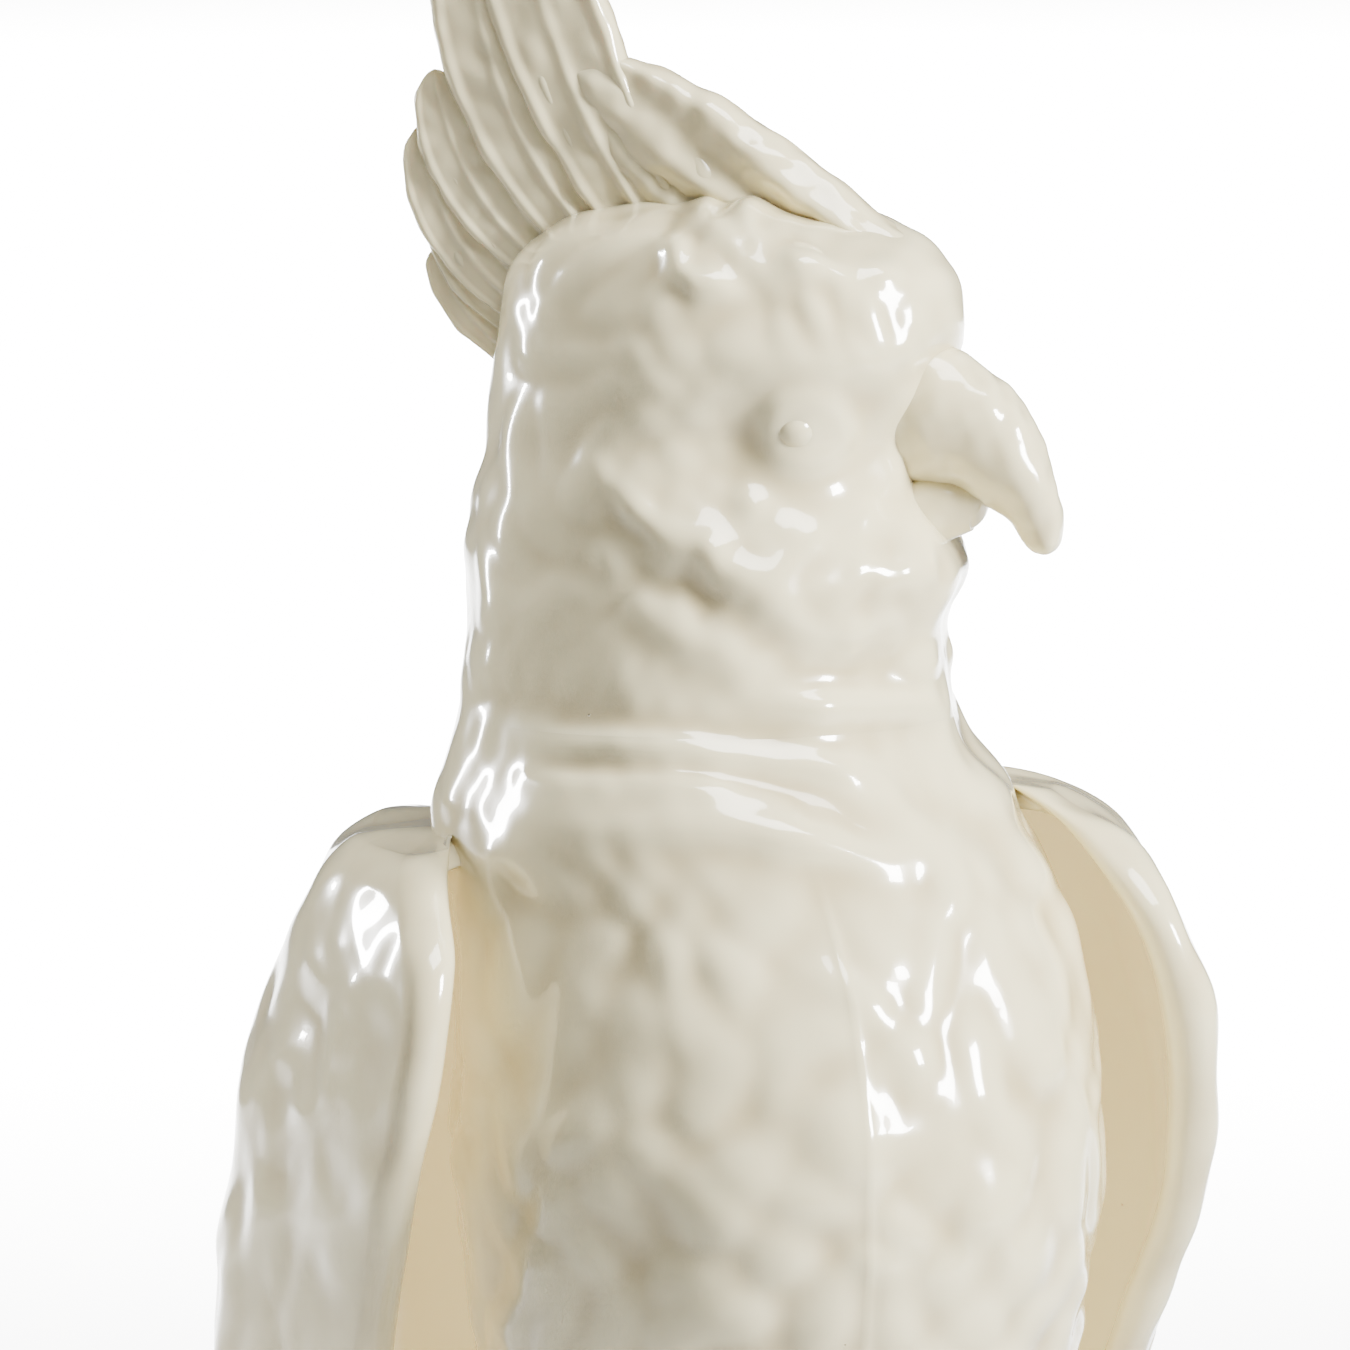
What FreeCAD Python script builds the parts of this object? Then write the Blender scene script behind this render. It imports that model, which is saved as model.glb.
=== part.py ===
import FreeCAD, Part
import math
import os

# Glazed ceramic cockatoo standing on a tree stump, as the cast and pressed clay pieces that are
# luted together with slip before the one firing. Each piece is its own solid and its own file.
# Millimetres, +Z up. The origin is the centre of the flat underside. The chest faces -Y, so the
# bird's left side is +X. The head is turned towards the bird's left.

# Stump that carries the bird
stump_height = 112.0
stump_foot_radius = 58.0
stump_waist_radius = 41.0
stump_top_radius = 45.0
stump_waist_height = 66.0
stump_wall = 5.0
stump_table_thickness = 6.0
slab_thickness = 6.0
slab_ledge = 2.5  # how far the foot slab is let into the stump's wall
vent_radius = 6.0
slab_vent_back = 22.0  # vent hole's distance behind the origin

# Torso
torso_height = 172.0
torso_half_width = 50.0
torso_half_depth = 47.5
torso_wall = 4.5
belly_setback = 8.0  # how far behind the origin the torso stands on the stump
chest_forward = 8.0  # how far in front of the origin the fullest chest section sits

# Neck joint between torso and head
neck_radius = 37.6
neck_side_shift = -6.0
neck_back_shift = 10.0
collar_height = 6.0
collar_taper = 3.5  # how much smaller the collar's radius is at its top
collar_clearance = 0.3

# Head
head_height = 77.0
head_half_length = 38.7
head_half_width = 33.5
head_wall = 4.5
head_yaw = 60.0  # degrees from the chest's direction towards the bird's left
eye_radius = 3.6
eye_height = 45.0
eye_forward = 18.5
eye_proud = 1.3  # how far the eye's ball stands out of the head

# Beak
upper_beak_half_depth = 9.0
upper_beak_half_width = 7.8
lower_beak_half_depth = 5.6
lower_beak_half_width = 5.8

# Crest
plume_thickness = 13.0  # sideways thickness of the front plume; those behind it are thinner
plume_thinning = 0.84  # each plume's thickness as a share of the one in front

# Wings
wing_thickness = 6.4
wing_tip_drop = 20.0  # how far the wing tips hang below the stump's top
wing_roof_height = 7.0  # rounded top that closes the shoulder
wing_rim_gap = 15.0  # wing's middle surface off the torso's side at the front rim
wing_side_gap = 24.5
wing_back_gap = 25.0
wing_front_bulge = 3.0  # how far the front half of the wing swells beyond a straight line
wing_root_bite = 3.0  # how far the wing's root would reach into the torso before it is trimmed
wing_split_gap = 1.0  # between the two wings over the back
wing_thinning = 0.3  # share of its thickness that a wing loses by its tip
right_shoulder_drop = 16.0  # below the neck joint
left_shoulder_drop = 10.5

# Tail
tail_length = 118.0
tail_half_width = 19.0
tail_thickness = 9.0
tail_root_rise = 34.0  # how far above the stump's top the tail leaves the rump

# Legs and feet
leg_spacing = 34.0
thigh_radius = 12.5
shank_radius = 5.2
toe_radius = 3.6
toe_drop = 12.0  # how far the front toes curl down over the stump's edge

ring_points = 20
section_count = 15
wing_points = 11
level_tolerance = 0.001  # an edge whose ends differ less than this in height is level
roof_rows = 13
roof_rounding = 0.5  # share of its half thickness that the wing draws in at the roof


def vec(x, y, z):
    return FreeCAD.Vector(x, y, z)


def interpolate(rows, t):
    """Smooth curve through rows of (t, value, value ...), as a Catmull-Rom spline in t."""
    last = len(rows) - 1
    i = max(k for k in range(last) if rows[k][0] <= t or k == 0)
    a = rows[max(i - 1, 0)]
    b = rows[i]
    c = rows[i + 1]
    d = rows[min(i + 2, last)]
    span = c[0] - b[0]
    s = min(max((t - b[0]) / span, 0.0), 1.0)
    values = []
    for k in range(1, len(b)):
        slope_b = (c[k] - a[k]) / (c[0] - a[0]) * span
        slope_c = (d[k] - b[k]) / (d[0] - b[0]) * span
        h = c[k] - b[k]
        cubic = slope_b + slope_c - 2 * h
        square = 3 * h - 2 * slope_b - slope_c
        values.append(b[k] + s * (slope_b + s * (square + s * cubic)))
    return values


def closed_wire(points):
    curve = Part.BSplineCurve()
    curve.interpolate(points, PeriodicFlag=True)
    return Part.Wire([curve.toShape()])


def oval(centre, half_x, half_y, yaw=0.0):
    """Level oval wire about centre; yaw turns its half_x direction from +X towards +Y."""
    c = math.cos(math.radians(yaw))
    s = math.sin(math.radians(yaw))
    points = []
    for k in range(ring_points):
        angle = 2 * math.pi * k / ring_points
        x = half_x * math.cos(angle)
        y = half_y * math.sin(angle)
        points.append(centre + vec(x * c - y * s, x * s + y * c, 0))
    return closed_wire(points)


def loft(wires):
    return Part.makeLoft(wires, True, False)


def skinned(rows):
    """Solid through rows of points that close round. Each row is level and has as many points."""
    heights = [row[0].z for row in rows]
    shares = [k / len(rows[0]) for k in range(len(rows[0]) + 1)]
    rings = []
    for row in rows:
        ring = Part.BSplineCurve()
        ring.interpolate(Points=row, PeriodicFlag=True, Parameters=shares)
        rings.append(ring)
    rises = []
    for column in zip(*[ring.getPoles() for ring in rings]):
        rise = Part.BSplineCurve()
        rise.interpolate(Points=list(column), Parameters=heights)
        rises.append(rise)
    surface = Part.BSplineSurface()
    surface.buildFromPolesMultsKnots(
        [rise.getPoles() for rise in rises],
        rings[0].getMultiplicities(),
        rises[0].getMultiplicities(),
        rings[0].getKnots(),
        rises[0].getKnots(),
        True,
        False,
        rings[0].Degree,
        rises[0].Degree,
    )
    side = surface.toShape()
    ends = [Part.Face(Part.Wire([edge])) for edge in side.Edges if edge.BoundBox.ZLength < level_tolerance]
    shell = Part.makeCompound([side] + ends)
    shell.sewShape()
    return Part.makeSolid(shell.Shells[0])


def trimmed(shape, *neighbours):
    """shape with its neighbours' room taken out, so that they meet face to face."""
    for other in neighbours:
        shape = shape.cut(other)
    return max(shape.Solids, key=lambda solid: solid.Volume)


def cylinder(radius, height, base):
    return Part.makeCylinder(radius, height, base)


# Torso -------------------------------------------------------------------------------------------
# Share of the height, half width and half depth as shares of the largest, and how far the section
# has moved from the belly's place towards the chest's.
torso_rows = [
    (0.00, 0.64, 0.68, 0.00),
    (0.16, 0.76, 0.81, 0.32),
    (0.31, 0.85, 0.89, 0.62),
    (0.45, 0.92, 0.96, 0.88),
    (0.60, 0.98, 1.00, 1.00),
    (0.74, 0.98, 0.97, 0.82),
    (0.85, 0.93, 0.90, 0.50),
    (0.94, 0.87, 0.84, 0.20),
]
# The shoulders draw in to the round neck over this share of the torso's height.
neck_start = 0.85


def torso_section(z):
    """Centre and half sizes of the torso's outer section at height z."""
    t = min(max((z - stump_height) / torso_height, 0.0), 1.0)
    rows = torso_rows + [(1.0, neck_radius / torso_half_width, neck_radius / torso_half_depth, 0.0)]
    wide, deep, forward = interpolate(rows, t)
    x = neck_side_shift * smooth_share(t, neck_start - 0.1, 1.0)
    y = belly_setback - forward * (belly_setback + chest_forward)
    y += (neck_back_shift - belly_setback) * smooth_share(t, neck_start, 1.0)
    return vec(x, y, z), wide * torso_half_width, deep * torso_half_depth


def smooth_share(t, start, end):
    s = min(max((t - start) / (end - start), 0.0), 1.0)
    return s * s * (3 - 2 * s)


def torso_solid(inset, low, high):
    wires = []
    for k in range(section_count):
        z = low + (high - low) * k / (section_count - 1)
        centre, half_x, half_y = torso_section(z)
        wires.append(oval(centre, half_x - inset, half_y - inset))
    return loft(wires)


neck_height = stump_height + torso_height
neck_centre = vec(neck_side_shift, neck_back_shift, neck_height)
torso_outer = torso_solid(0.0, stump_height, neck_height)


def collar_cone(clearance):
    """Tapered plug that stands in the neck's mouth, wider by the clearance."""
    low = neck_radius - torso_wall / 2 + clearance
    return Part.makeCone(low, low - collar_taper, collar_height, neck_centre)


def make_torso():
    # Hollow casting, open below onto the stump's table and above into the head. A tapered collar
    # stands on the neck's wall, and the head's wall fits over it.
    cavity = torso_solid(torso_wall, stump_height, neck_height)
    mouth = cylinder(neck_radius - torso_wall - collar_taper, collar_height, neck_centre)
    return trimmed(torso_outer.cut(cavity).fuse(collar_cone(0.0).cut(mouth)))


# Stump -------------------------------------------------------------------------------------------
stump_edge = 4.0  # rounding of the table's edge
stump_ceiling = stump_height - stump_table_thickness


def stump_radius(z):
    """Outer radius at height z: flared roots, a waist and a slightly wider top."""
    flare = stump_foot_radius - stump_waist_radius
    rows = [
        (0.0, stump_foot_radius),
        (0.33 * stump_waist_height, stump_waist_radius + 0.42 * flare),
        (stump_waist_height, stump_waist_radius),
        (stump_height - stump_edge, stump_top_radius),
    ]
    return interpolate(rows, z)[0]


slab_radius = stump_radius(slab_thickness) - stump_wall + slab_ledge


def turned(profile_edges):
    """Solid turned about +Z from the edges of a closed half profile in the XZ plane."""
    profile = Part.Wire([edge.toShape() for edge in profile_edges])
    return Part.Face(profile).revolve(vec(0, 0, 0), vec(0, 0, 1), 360)


def stump_side(low, high, inset):
    curve = Part.BSplineCurve()
    count = 6
    heights = [low + (high - low) * k / (count - 1) for k in range(count)]
    curve.interpolate([vec(stump_radius(z) - inset, 0, z) for z in heights])
    return curve


def make_stump():
    shoulder = stump_height - stump_edge
    rim_drop = stump_edge * (1 - math.sqrt(0.5))
    rim = Part.Arc(
        vec(stump_top_radius, 0, shoulder),
        vec(stump_top_radius - rim_drop, 0, stump_height - rim_drop),
        vec(stump_top_radius - stump_edge, 0, stump_height),
    )
    body = turned(
        [
            stump_side(0.0, shoulder, 0.0),
            rim,
            Part.LineSegment(vec(stump_top_radius - stump_edge, 0, stump_height), vec(0, 0, stump_height)),
            Part.LineSegment(vec(0, 0, stump_height), vec(0, 0, 0)),
            Part.LineSegment(vec(0, 0, 0), vec(stump_foot_radius, 0, 0)),
        ]
    )
    inner_top = stump_radius(stump_ceiling) - stump_wall
    inner_foot = stump_radius(slab_thickness) - stump_wall
    cavity = turned(
        [
            stump_side(slab_thickness, stump_ceiling, stump_wall),
            Part.LineSegment(vec(inner_top, 0, stump_ceiling), vec(0, 0, stump_ceiling)),
            Part.LineSegment(vec(0, 0, stump_ceiling), vec(0, 0, slab_thickness)),
            Part.LineSegment(vec(0, 0, slab_thickness), vec(inner_foot, 0, slab_thickness)),
        ]
    )
    seat = cylinder(slab_radius, slab_thickness, vec(0, 0, 0))
    vent = cylinder(vent_radius, stump_table_thickness, vec(0, belly_setback, stump_ceiling))
    return trimmed(body, cavity, seat, vent)


def make_slab():
    # Disc that closes the stump's foot, flush with it, with the hole that lets firing gases out.
    disc = cylinder(slab_radius, slab_thickness, vec(0, 0, 0))
    return trimmed(disc, cylinder(vent_radius, slab_thickness, vec(0, slab_vent_back, 0)))


# Head --------------------------------------------------------------------------------------------
# Share of the height, half length and half width as shares of the largest, forward shift in mm.
head_rows = [
    (0.08, 0.955, 1.08, -0.5),
    (0.18, 0.950, 1.04, -0.3),
    (0.29, 1.000, 0.98, 1.4),
    (0.40, 0.920, 0.93, -0.6),
    (0.53, 0.840, 0.88, -1.0),
    (0.65, 0.880, 0.85, 1.6),
    (0.74, 0.917, 0.82, 3.5),
    (0.82, 0.900, 0.77, 3.6),
    (0.89, 0.840, 0.68, 3.4),
    (0.95, 0.650, 0.52, 2.6),
    (0.985, 0.360, 0.28, 2.0),
    (1.00, 0.130, 0.10, 2.0),
]
face = vec(math.sin(math.radians(head_yaw)), -math.cos(math.radians(head_yaw)), 0)
right_cheek = vec(face.y, -face.x, 0)  # level, square to the face, towards the bird's right
head_axis = math.degrees(math.atan2(face.y, face.x))


def head_section(z):
    """Centre, half length along the face and half width of the head's outer section at height z."""
    t = min(max((z - neck_height) / head_height, 0.0), 1.0)
    rows = [(0.0, neck_radius / head_half_length, neck_radius / head_half_width, 0.0)] + head_rows
    length, wide, forward = interpolate(rows, t)
    centre = vec(neck_centre.x, neck_centre.y, z) + face * forward
    return centre, length * head_half_length, wide * head_half_width


def head_point(forward, z, side=0.0):
    """Point in the head's own directions: along the face, up, and to the bird's right."""
    return vec(neck_centre.x, neck_centre.y, z) + face * forward + right_cheek * side


def head_solid(inset, low, high):
    wires = []
    for k in range(section_count + 4):
        # Sections crowd together at the neck and at the crown, where the outline turns over.
        share = (1 - math.cos(math.pi * k / (section_count + 3))) / 2
        z = low + (high - low) * share
        centre, half_length, half_width = head_section(z + inset * share)
        centre.z = z
        wires.append(oval(centre, half_length - inset, half_width - inset, head_axis))
    return loft(wires)


crown_height = neck_height + head_height
head_outer = head_solid(0.0, neck_height, crown_height)


def eye_ball(side):
    """Ball of clay half sunk in the cheek; side is 1 for the bird's right eye and -1 for its left."""
    z = neck_height + eye_height
    centre, half_length, half_width = head_section(z)
    across = half_width * math.sqrt(1 - (eye_forward / half_length) ** 2)
    offset = (across + eye_proud - eye_radius) * side
    middle = head_point(eye_forward + (centre - head_point(0, z)).dot(face), z, offset)
    return Part.makeSphere(eye_radius, middle, right_cheek)


right_eye = eye_ball(1)
left_eye = eye_ball(-1)


def make_head():
    # Hollow casting. Its neck is opened out to fit over the torso's collar.
    top = crown_height - 1.5 * head_wall
    cavity = head_solid(head_wall, neck_height + collar_height / 2, top)
    return trimmed(head_outer, cavity, collar_cone(collar_clearance), right_eye, left_eye)


# Beak --------------------------------------------------------------------------------------------
def spine_loft(rows, samples, half_depth, half_width):
    """Solid of ovals strung along a curve in the head's upright middle plane.

    rows hold share along the curve, forward and up from the neck joint, then the half depth and
    half width as shares of the largest.
    """
    wires = []
    step = 0.01
    for k in range(samples):
        t = k / (samples - 1)
        forward, up, deep, wide = interpolate(rows, t)
        ahead = interpolate(rows, min(t + step, 1.0))
        behind = interpolate(rows, max(t - step, 0.0))
        run = math.hypot(ahead[0] - behind[0], ahead[1] - behind[1])
        across_forward = (ahead[1] - behind[1]) / run
        across_up = -(ahead[0] - behind[0]) / run
        points = []
        for m in range(ring_points):
            angle = 2 * math.pi * m / ring_points
            out = deep * half_depth * math.cos(angle)
            side = wide * half_width * math.sin(angle)
            points.append(
                head_point(
                    forward + across_forward * out,
                    neck_height + up + across_up * out,
                    side,
                )
            )
        wires.append(closed_wire(points))
    return loft(wires)


upper_beak_rows = [
    (0.00, 27.0, 48.3, 1.00, 0.95),
    (0.25, 35.8, 46.0, 1.02, 1.00),
    (0.50, 43.4, 41.0, 0.77, 0.84),
    (0.72, 48.9, 34.7, 0.51, 0.62),
    (0.88, 51.2, 29.0, 0.34, 0.42),
    (1.00, 50.8, 24.4, 0.16, 0.20),
]
lower_beak_rows = [
    (0.00, 26.0, 29.6, 1.00, 1.00),
    (0.50, 35.5, 30.6, 1.00, 0.95),
    (0.82, 41.0, 30.6, 0.76, 0.74),
    (1.00, 43.8, 30.2, 0.34, 0.36),
]
upper_beak = spine_loft(upper_beak_rows, 12, upper_beak_half_depth, upper_beak_half_width)
upper_beak = trimmed(upper_beak, head_outer)


def make_lower_beak():
    solid = spine_loft(lower_beak_rows, 6, lower_beak_half_depth, lower_beak_half_width)
    return trimmed(solid, head_outer, upper_beak)


# Crest -------------------------------------------------------------------------------------------
# Each feather: root forward and up from the neck joint, starting and ending lean in degrees behind
# upright, length and half width. The first two lie back over the brow, the rest fan up and back.
crest_feathers = [
    (34.0, 62.0, 62.0, 56.0, 65.0, 8.8),
    (17.0, 64.0, 62.0, 50.0, 44.0, 7.6),
    (-4.0, 67.0, 38.0, 10.0, 74.0, 9.0),
    (-13.0, 67.0, 50.0, 0.0, 64.0, 8.0),
    (-22.0, 65.0, 60.0, 12.0, 38.0, 5.6),
    (-26.0, 59.0, 62.0, 10.0, 35.0, 4.8),
    (-26.0, 56.0, 64.0, 18.0, 27.0, 3.8),
    (-27.0, 52.0, 68.0, 24.0, 23.0, 3.4),
]
leaf_rows = [
    (0.00, 0.62),
    (0.35, 0.92),
    (0.62, 1.00),
    (0.84, 0.78),
    (0.95, 0.45),
    (1.00, 0.16),
]


def feather_solid(forward, up, lean_start, lean_end, length, half_width, half_thickness):
    """Leaf-shaped blade whose lean changes evenly along its length."""
    rows = []
    count = 10
    for k in range(count):
        t = k / (count - 1)
        wide = interpolate(leaf_rows, t)[0]
        rows.append((t, forward, up, wide, 1.0 - 0.55 * t * t))
        lean = math.radians(lean_start + (lean_end - lean_start) * (t + 0.5 / (count - 1)))
        forward -= math.sin(lean) * length / (count - 1)
        up += math.cos(lean) * length / (count - 1)
    return spine_loft(rows, count, half_width, half_thickness)


def make_crest():
    # Front feathers are the thickest, so each one stands proud of the next on both sides.
    made = []
    half_thickness = plume_thickness / 2
    for row in crest_feathers:
        blade = feather_solid(*row, half_thickness)
        made.append(trimmed(blade, head_outer, *made))
        half_thickness *= plume_thinning
    return made


# Wings -------------------------------------------------------------------------------------------
# Share down the wing, then how open each of the rim, side and back gaps is there, the back point's
# place as a share of the torso's half width, and how far behind the torso's middle the front rim
# and the fullest side stand.
wing_rows = [
    (0.00, 0.34, 0.42, 0.15, 0.90, -5.0, 12.0),
    (0.04, 0.53, 0.58, 0.34, 0.96, -11.0, 16.0),
    (0.10, 0.64, 0.68, 0.50, 0.96, -19.0, 27.0),
    (0.18, 0.76, 0.79, 0.64, 0.95, -17.0, 39.0),
    (0.33, 0.94, 0.98, 0.82, 0.96, -5.0, 44.0),
    (0.47, 1.00, 1.08, 0.94, 0.96, 11.0, 50.0),
    (0.63, 0.95, 0.93, 1.00, 0.92, 24.0, 54.0),
    (0.80, 0.60, 0.55, 1.00, 0.80, 35.0, 55.0),
    (0.93, 0.10, 0.06, 1.02, 0.62, 42.0, 53.0),
    (1.00, -0.20, -0.18, 1.04, 0.50, 45.0, 54.0),
]


wing_tip_height = stump_height - wing_tip_drop


def wing_line(shoulder_height, z):
    """Middle line of the wing's C-shaped section at height z, from the front rim to the root."""
    share = (shoulder_height - z) / (shoulder_height - wing_tip_height)
    centre, half_x, half_y = torso_section(max(z, stump_height))
    rim_open, side_open, back_open, back_reach, rim_back, side_back = interpolate(wing_rows, share)
    back = centre.y + half_y
    rim = vec(half_x + rim_open * wing_rim_gap, centre.y + rim_back, z)
    side = vec(half_x + side_open * wing_side_gap, centre.y + side_back, z)
    line = Part.BSplineCurve()
    line.interpolate(
        [
            rim,
            (rim + side) / 2 + vec(wing_front_bulge, 0, 0),
            side,
            vec(half_x * back_reach, back + back_open * wing_back_gap, z),
            vec(root_x(half_x, share), root_y(back, share), z),
        ]
    )
    return line


def beside(line, offset):
    """Points along a middle line, moved out from the bird's side by the offset."""
    points = []
    for k in range(wing_points):
        u = line.FirstParameter + (line.LastParameter - line.FirstParameter) * k / (wing_points - 1)
        along = line.tangent(u)[0]
        points.append(line.value(u) + vec(along.y, -along.x, 0) * offset)
    return points


def wing_row(side, shoulder_height, z):
    """Points round the wing's section at height z, with round ends at the rim and the root.

    The shell thins towards the tip. Over the roof's height the inner side draws back into the
    torso, which closes the shoulder, and the outer side draws in, which rounds it.
    """
    share = (shoulder_height - z) / (shoulder_height - wing_tip_height)
    rise = max(1 - (shoulder_height - z) / wing_roof_height, 0.0)
    centre, _, _ = torso_section(z)
    line = wing_line(shoulder_height, z)
    half = wing_thickness / 2 * (1.0 - wing_thinning * share)
    inset = half * roof_rounding * (1 - math.sqrt(1 - rise * rise))
    rim_end = line.value(line.FirstParameter) - line.tangent(line.FirstParameter)[0] * (half - inset)
    root_end = line.value(line.LastParameter) + line.tangent(line.LastParameter)[0] * half
    inner = drawn_in(beside(line, -half), vec(0, centre.y, z), smooth_share(rise, 0.0, 0.7))
    points = beside(line, half - inset) + [root_end] + inner[::-1] + [rim_end]
    shift = centre.x * (1 - share)
    return [vec(shift + side * p.x, p.y, p.z) for p in points]


def drawn_in(points, heart, amount):
    """Points moved by amount, 0 to 1, to an even bow between the end points towards the heart."""
    moved = []
    for k, point in enumerate(points):
        s = k / (len(points) - 1)
        bow = points[0] * (1 - s) ** 2 + heart * (2 * s * (1 - s)) + points[-1] * s**2
        moved.append(point + (bow - point) * amount)
    return moved


def root_x(half_x, share):
    """The root starts wide on the shoulder and closes on the spine line lower down."""
    spine = (wing_split_gap + wing_thickness) / 2
    return spine + 0.42 * half_x * (1 - smooth_share(share, 0.0, 0.45))


def root_y(back, share):
    """The root bites into the back and leaves it for the tail over the wing's lower part."""
    lift = (wing_back_gap + wing_root_bite) * smooth_share(share, 0.45, 0.95)
    return back - wing_root_bite + lift


def make_wing(side, shoulder_height, *neighbours):
    # Rows crowd together at the roof, where the section changes fastest.
    roof_foot = shoulder_height - wing_roof_height
    wall_top = roof_foot - wing_roof_height
    heights = []
    for k in range(section_count):
        heights.append(wing_tip_height + (wall_top - wing_tip_height) * k / (section_count - 1))
    for k in range(1, roof_rows):
        heights.append(wall_top + 2 * wing_roof_height * math.sin(0.47 * math.pi * k / (roof_rows - 1)))
    solid = skinned([wing_row(side, shoulder_height, z) for z in heights])
    return trimmed(solid, torso_outer, head_outer, *neighbours)


# Tail --------------------------------------------------------------------------------------------
def make_tail(stump):
    # Flat tapering blade from under the rump, down behind the stump.
    top_height = stump_height + tail_root_rise
    _, _, half_depth = torso_section(top_height)
    start = belly_setback + half_depth - 1.5 * tail_thickness
    end = stump_foot_radius + tail_thickness / 2
    wires = []
    for k in range(6):
        t = k / 5
        z = top_height - tail_length * t
        y = start + (end - start) * math.sin(math.pi / 2 * t)
        wide = tail_half_width * (0.8 + 0.4 * t - 0.45 * t * t)
        wires.append(oval(vec(0, y, z), wide, tail_thickness / 2 * (1.1 - 0.5 * t)))
    return trimmed(loft(wires), torso_outer, stump)


# Legs and feet -----------------------------------------------------------------------------------
foot_back = 0.72 * stump_top_radius  # ankle's distance in front of the origin


def make_leg(side, foot):
    x = side * leg_spacing / 2
    ankle = vec(x, -foot_back, stump_height)
    knee_height = stump_height + 0.24 * torso_height
    centre, _, half_depth = torso_section(knee_height)
    knee_y = centre.y - half_depth * 0.62
    rows = [
        (0.00, ankle.y, ankle.z, shank_radius),
        (0.22, ankle.y, ankle.z + 1.6 * shank_radius, shank_radius),
        (0.60, (ankle.y + knee_y) / 2, (ankle.z + knee_height) / 2, 0.95 * thigh_radius),
        (1.00, knee_y, knee_height, 0.75 * thigh_radius),
    ]
    wires = []
    for k in range(7):
        y, z, radius = interpolate(rows, k / 6)
        wires.append(oval(vec(x, y, z), radius, radius))
    return trimmed(loft(wires), torso_outer, foot)


def toe(points, radii):
    """Tapering round toe along points, each ring square to the run that it ends."""
    wires = []
    for k, point in enumerate(points):
        ahead = points[min(k + 1, len(points) - 1)]
        behind = points[max(k - 1, 0)]
        along = (ahead - behind).normalize()
        wires.append(Part.Wire([Part.makeCircle(radii[k], point, along)]))
    return loft(wires)


def make_foot(side, stump):
    # Two toes curl forward over the stump's edge and two short ones lie backward on the table.
    ankle = vec(side * leg_spacing / 2, -foot_back, stump_height)
    heading = math.atan2(ankle.x, foot_back)
    front = []
    for spread in (-0.13, 0.13):
        direction = heading + spread
        out = vec(math.sin(direction), -math.cos(direction), 0)
        edge = stump_top_radius
        rim = out * edge
        points = [
            ankle + out * -2.0 + vec(0, 0, 0.8 * toe_radius),
            out * (edge - 2.2 * toe_radius) + vec(0, 0, stump_height + 0.75 * toe_radius),
            rim + out * 0.1 * toe_radius + vec(0, 0, stump_height - 0.1 * toe_radius),
            rim + out * 0.55 * toe_radius + vec(0, 0, stump_height - 0.55 * toe_drop),
            rim + out * 0.15 * toe_radius + vec(0, 0, stump_height - toe_drop),
        ]
        front.append(toe(points, [toe_radius * s for s in (1.0, 1.0, 0.95, 0.8, 0.35)]))
    back = []
    for spread in (1.15, -1.15):
        direction = math.pi + spread
        out = vec(math.sin(direction), -math.cos(direction), 0)
        points = [ankle + out * d + vec(0, 0, 0.6 * toe_radius) for d in (-1.5, 5.0, 10.5)]
        back.append(toe(points, [toe_radius * s for s in (0.9, 0.8, 0.35)]))
    pad = Part.makeSphere(1.35 * toe_radius, ankle + vec(0, 0, 0.5 * toe_radius))
    foot = pad
    for piece in front + back:
        foot = foot.fuse(piece)
    return trimmed(foot, stump, torso_outer)


# Export ------------------------------------------------------------------------------------------
def main():
    os.makedirs("parts", exist_ok=True)
    stump = make_stump()
    tail = make_tail(stump)
    right_wing = make_wing(-1, neck_height - right_shoulder_drop, tail)
    left_wing = make_wing(1, neck_height - left_shoulder_drop, tail)
    right_foot = make_foot(-1, stump)
    left_foot = make_foot(1, stump)
    pieces = {
        "stump": stump,
        "foot_slab": make_slab(),
        "torso": make_torso(),
        "head": make_head(),
        "right_eye": right_eye,
        "left_eye": left_eye,
        "upper_beak": upper_beak,
        "lower_beak": make_lower_beak(),
        "right_wing": right_wing,
        "left_wing": left_wing,
        "tail": tail,
        "right_foot": right_foot,
        "left_foot": left_foot,
        "right_leg": make_leg(-1, right_foot),
        "left_leg": make_leg(1, left_foot),
    }
    for number, feather in enumerate(make_crest(), 1):
        pieces["crest_feather_%d" % number] = feather
    for name, shape in pieces.items():
        if not shape.isValid() or len(shape.Solids) != 1:
            raise RuntimeError("%s is not one valid solid" % name)
        shape.exportStep("parts/%s.step" % name)


main()
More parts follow.
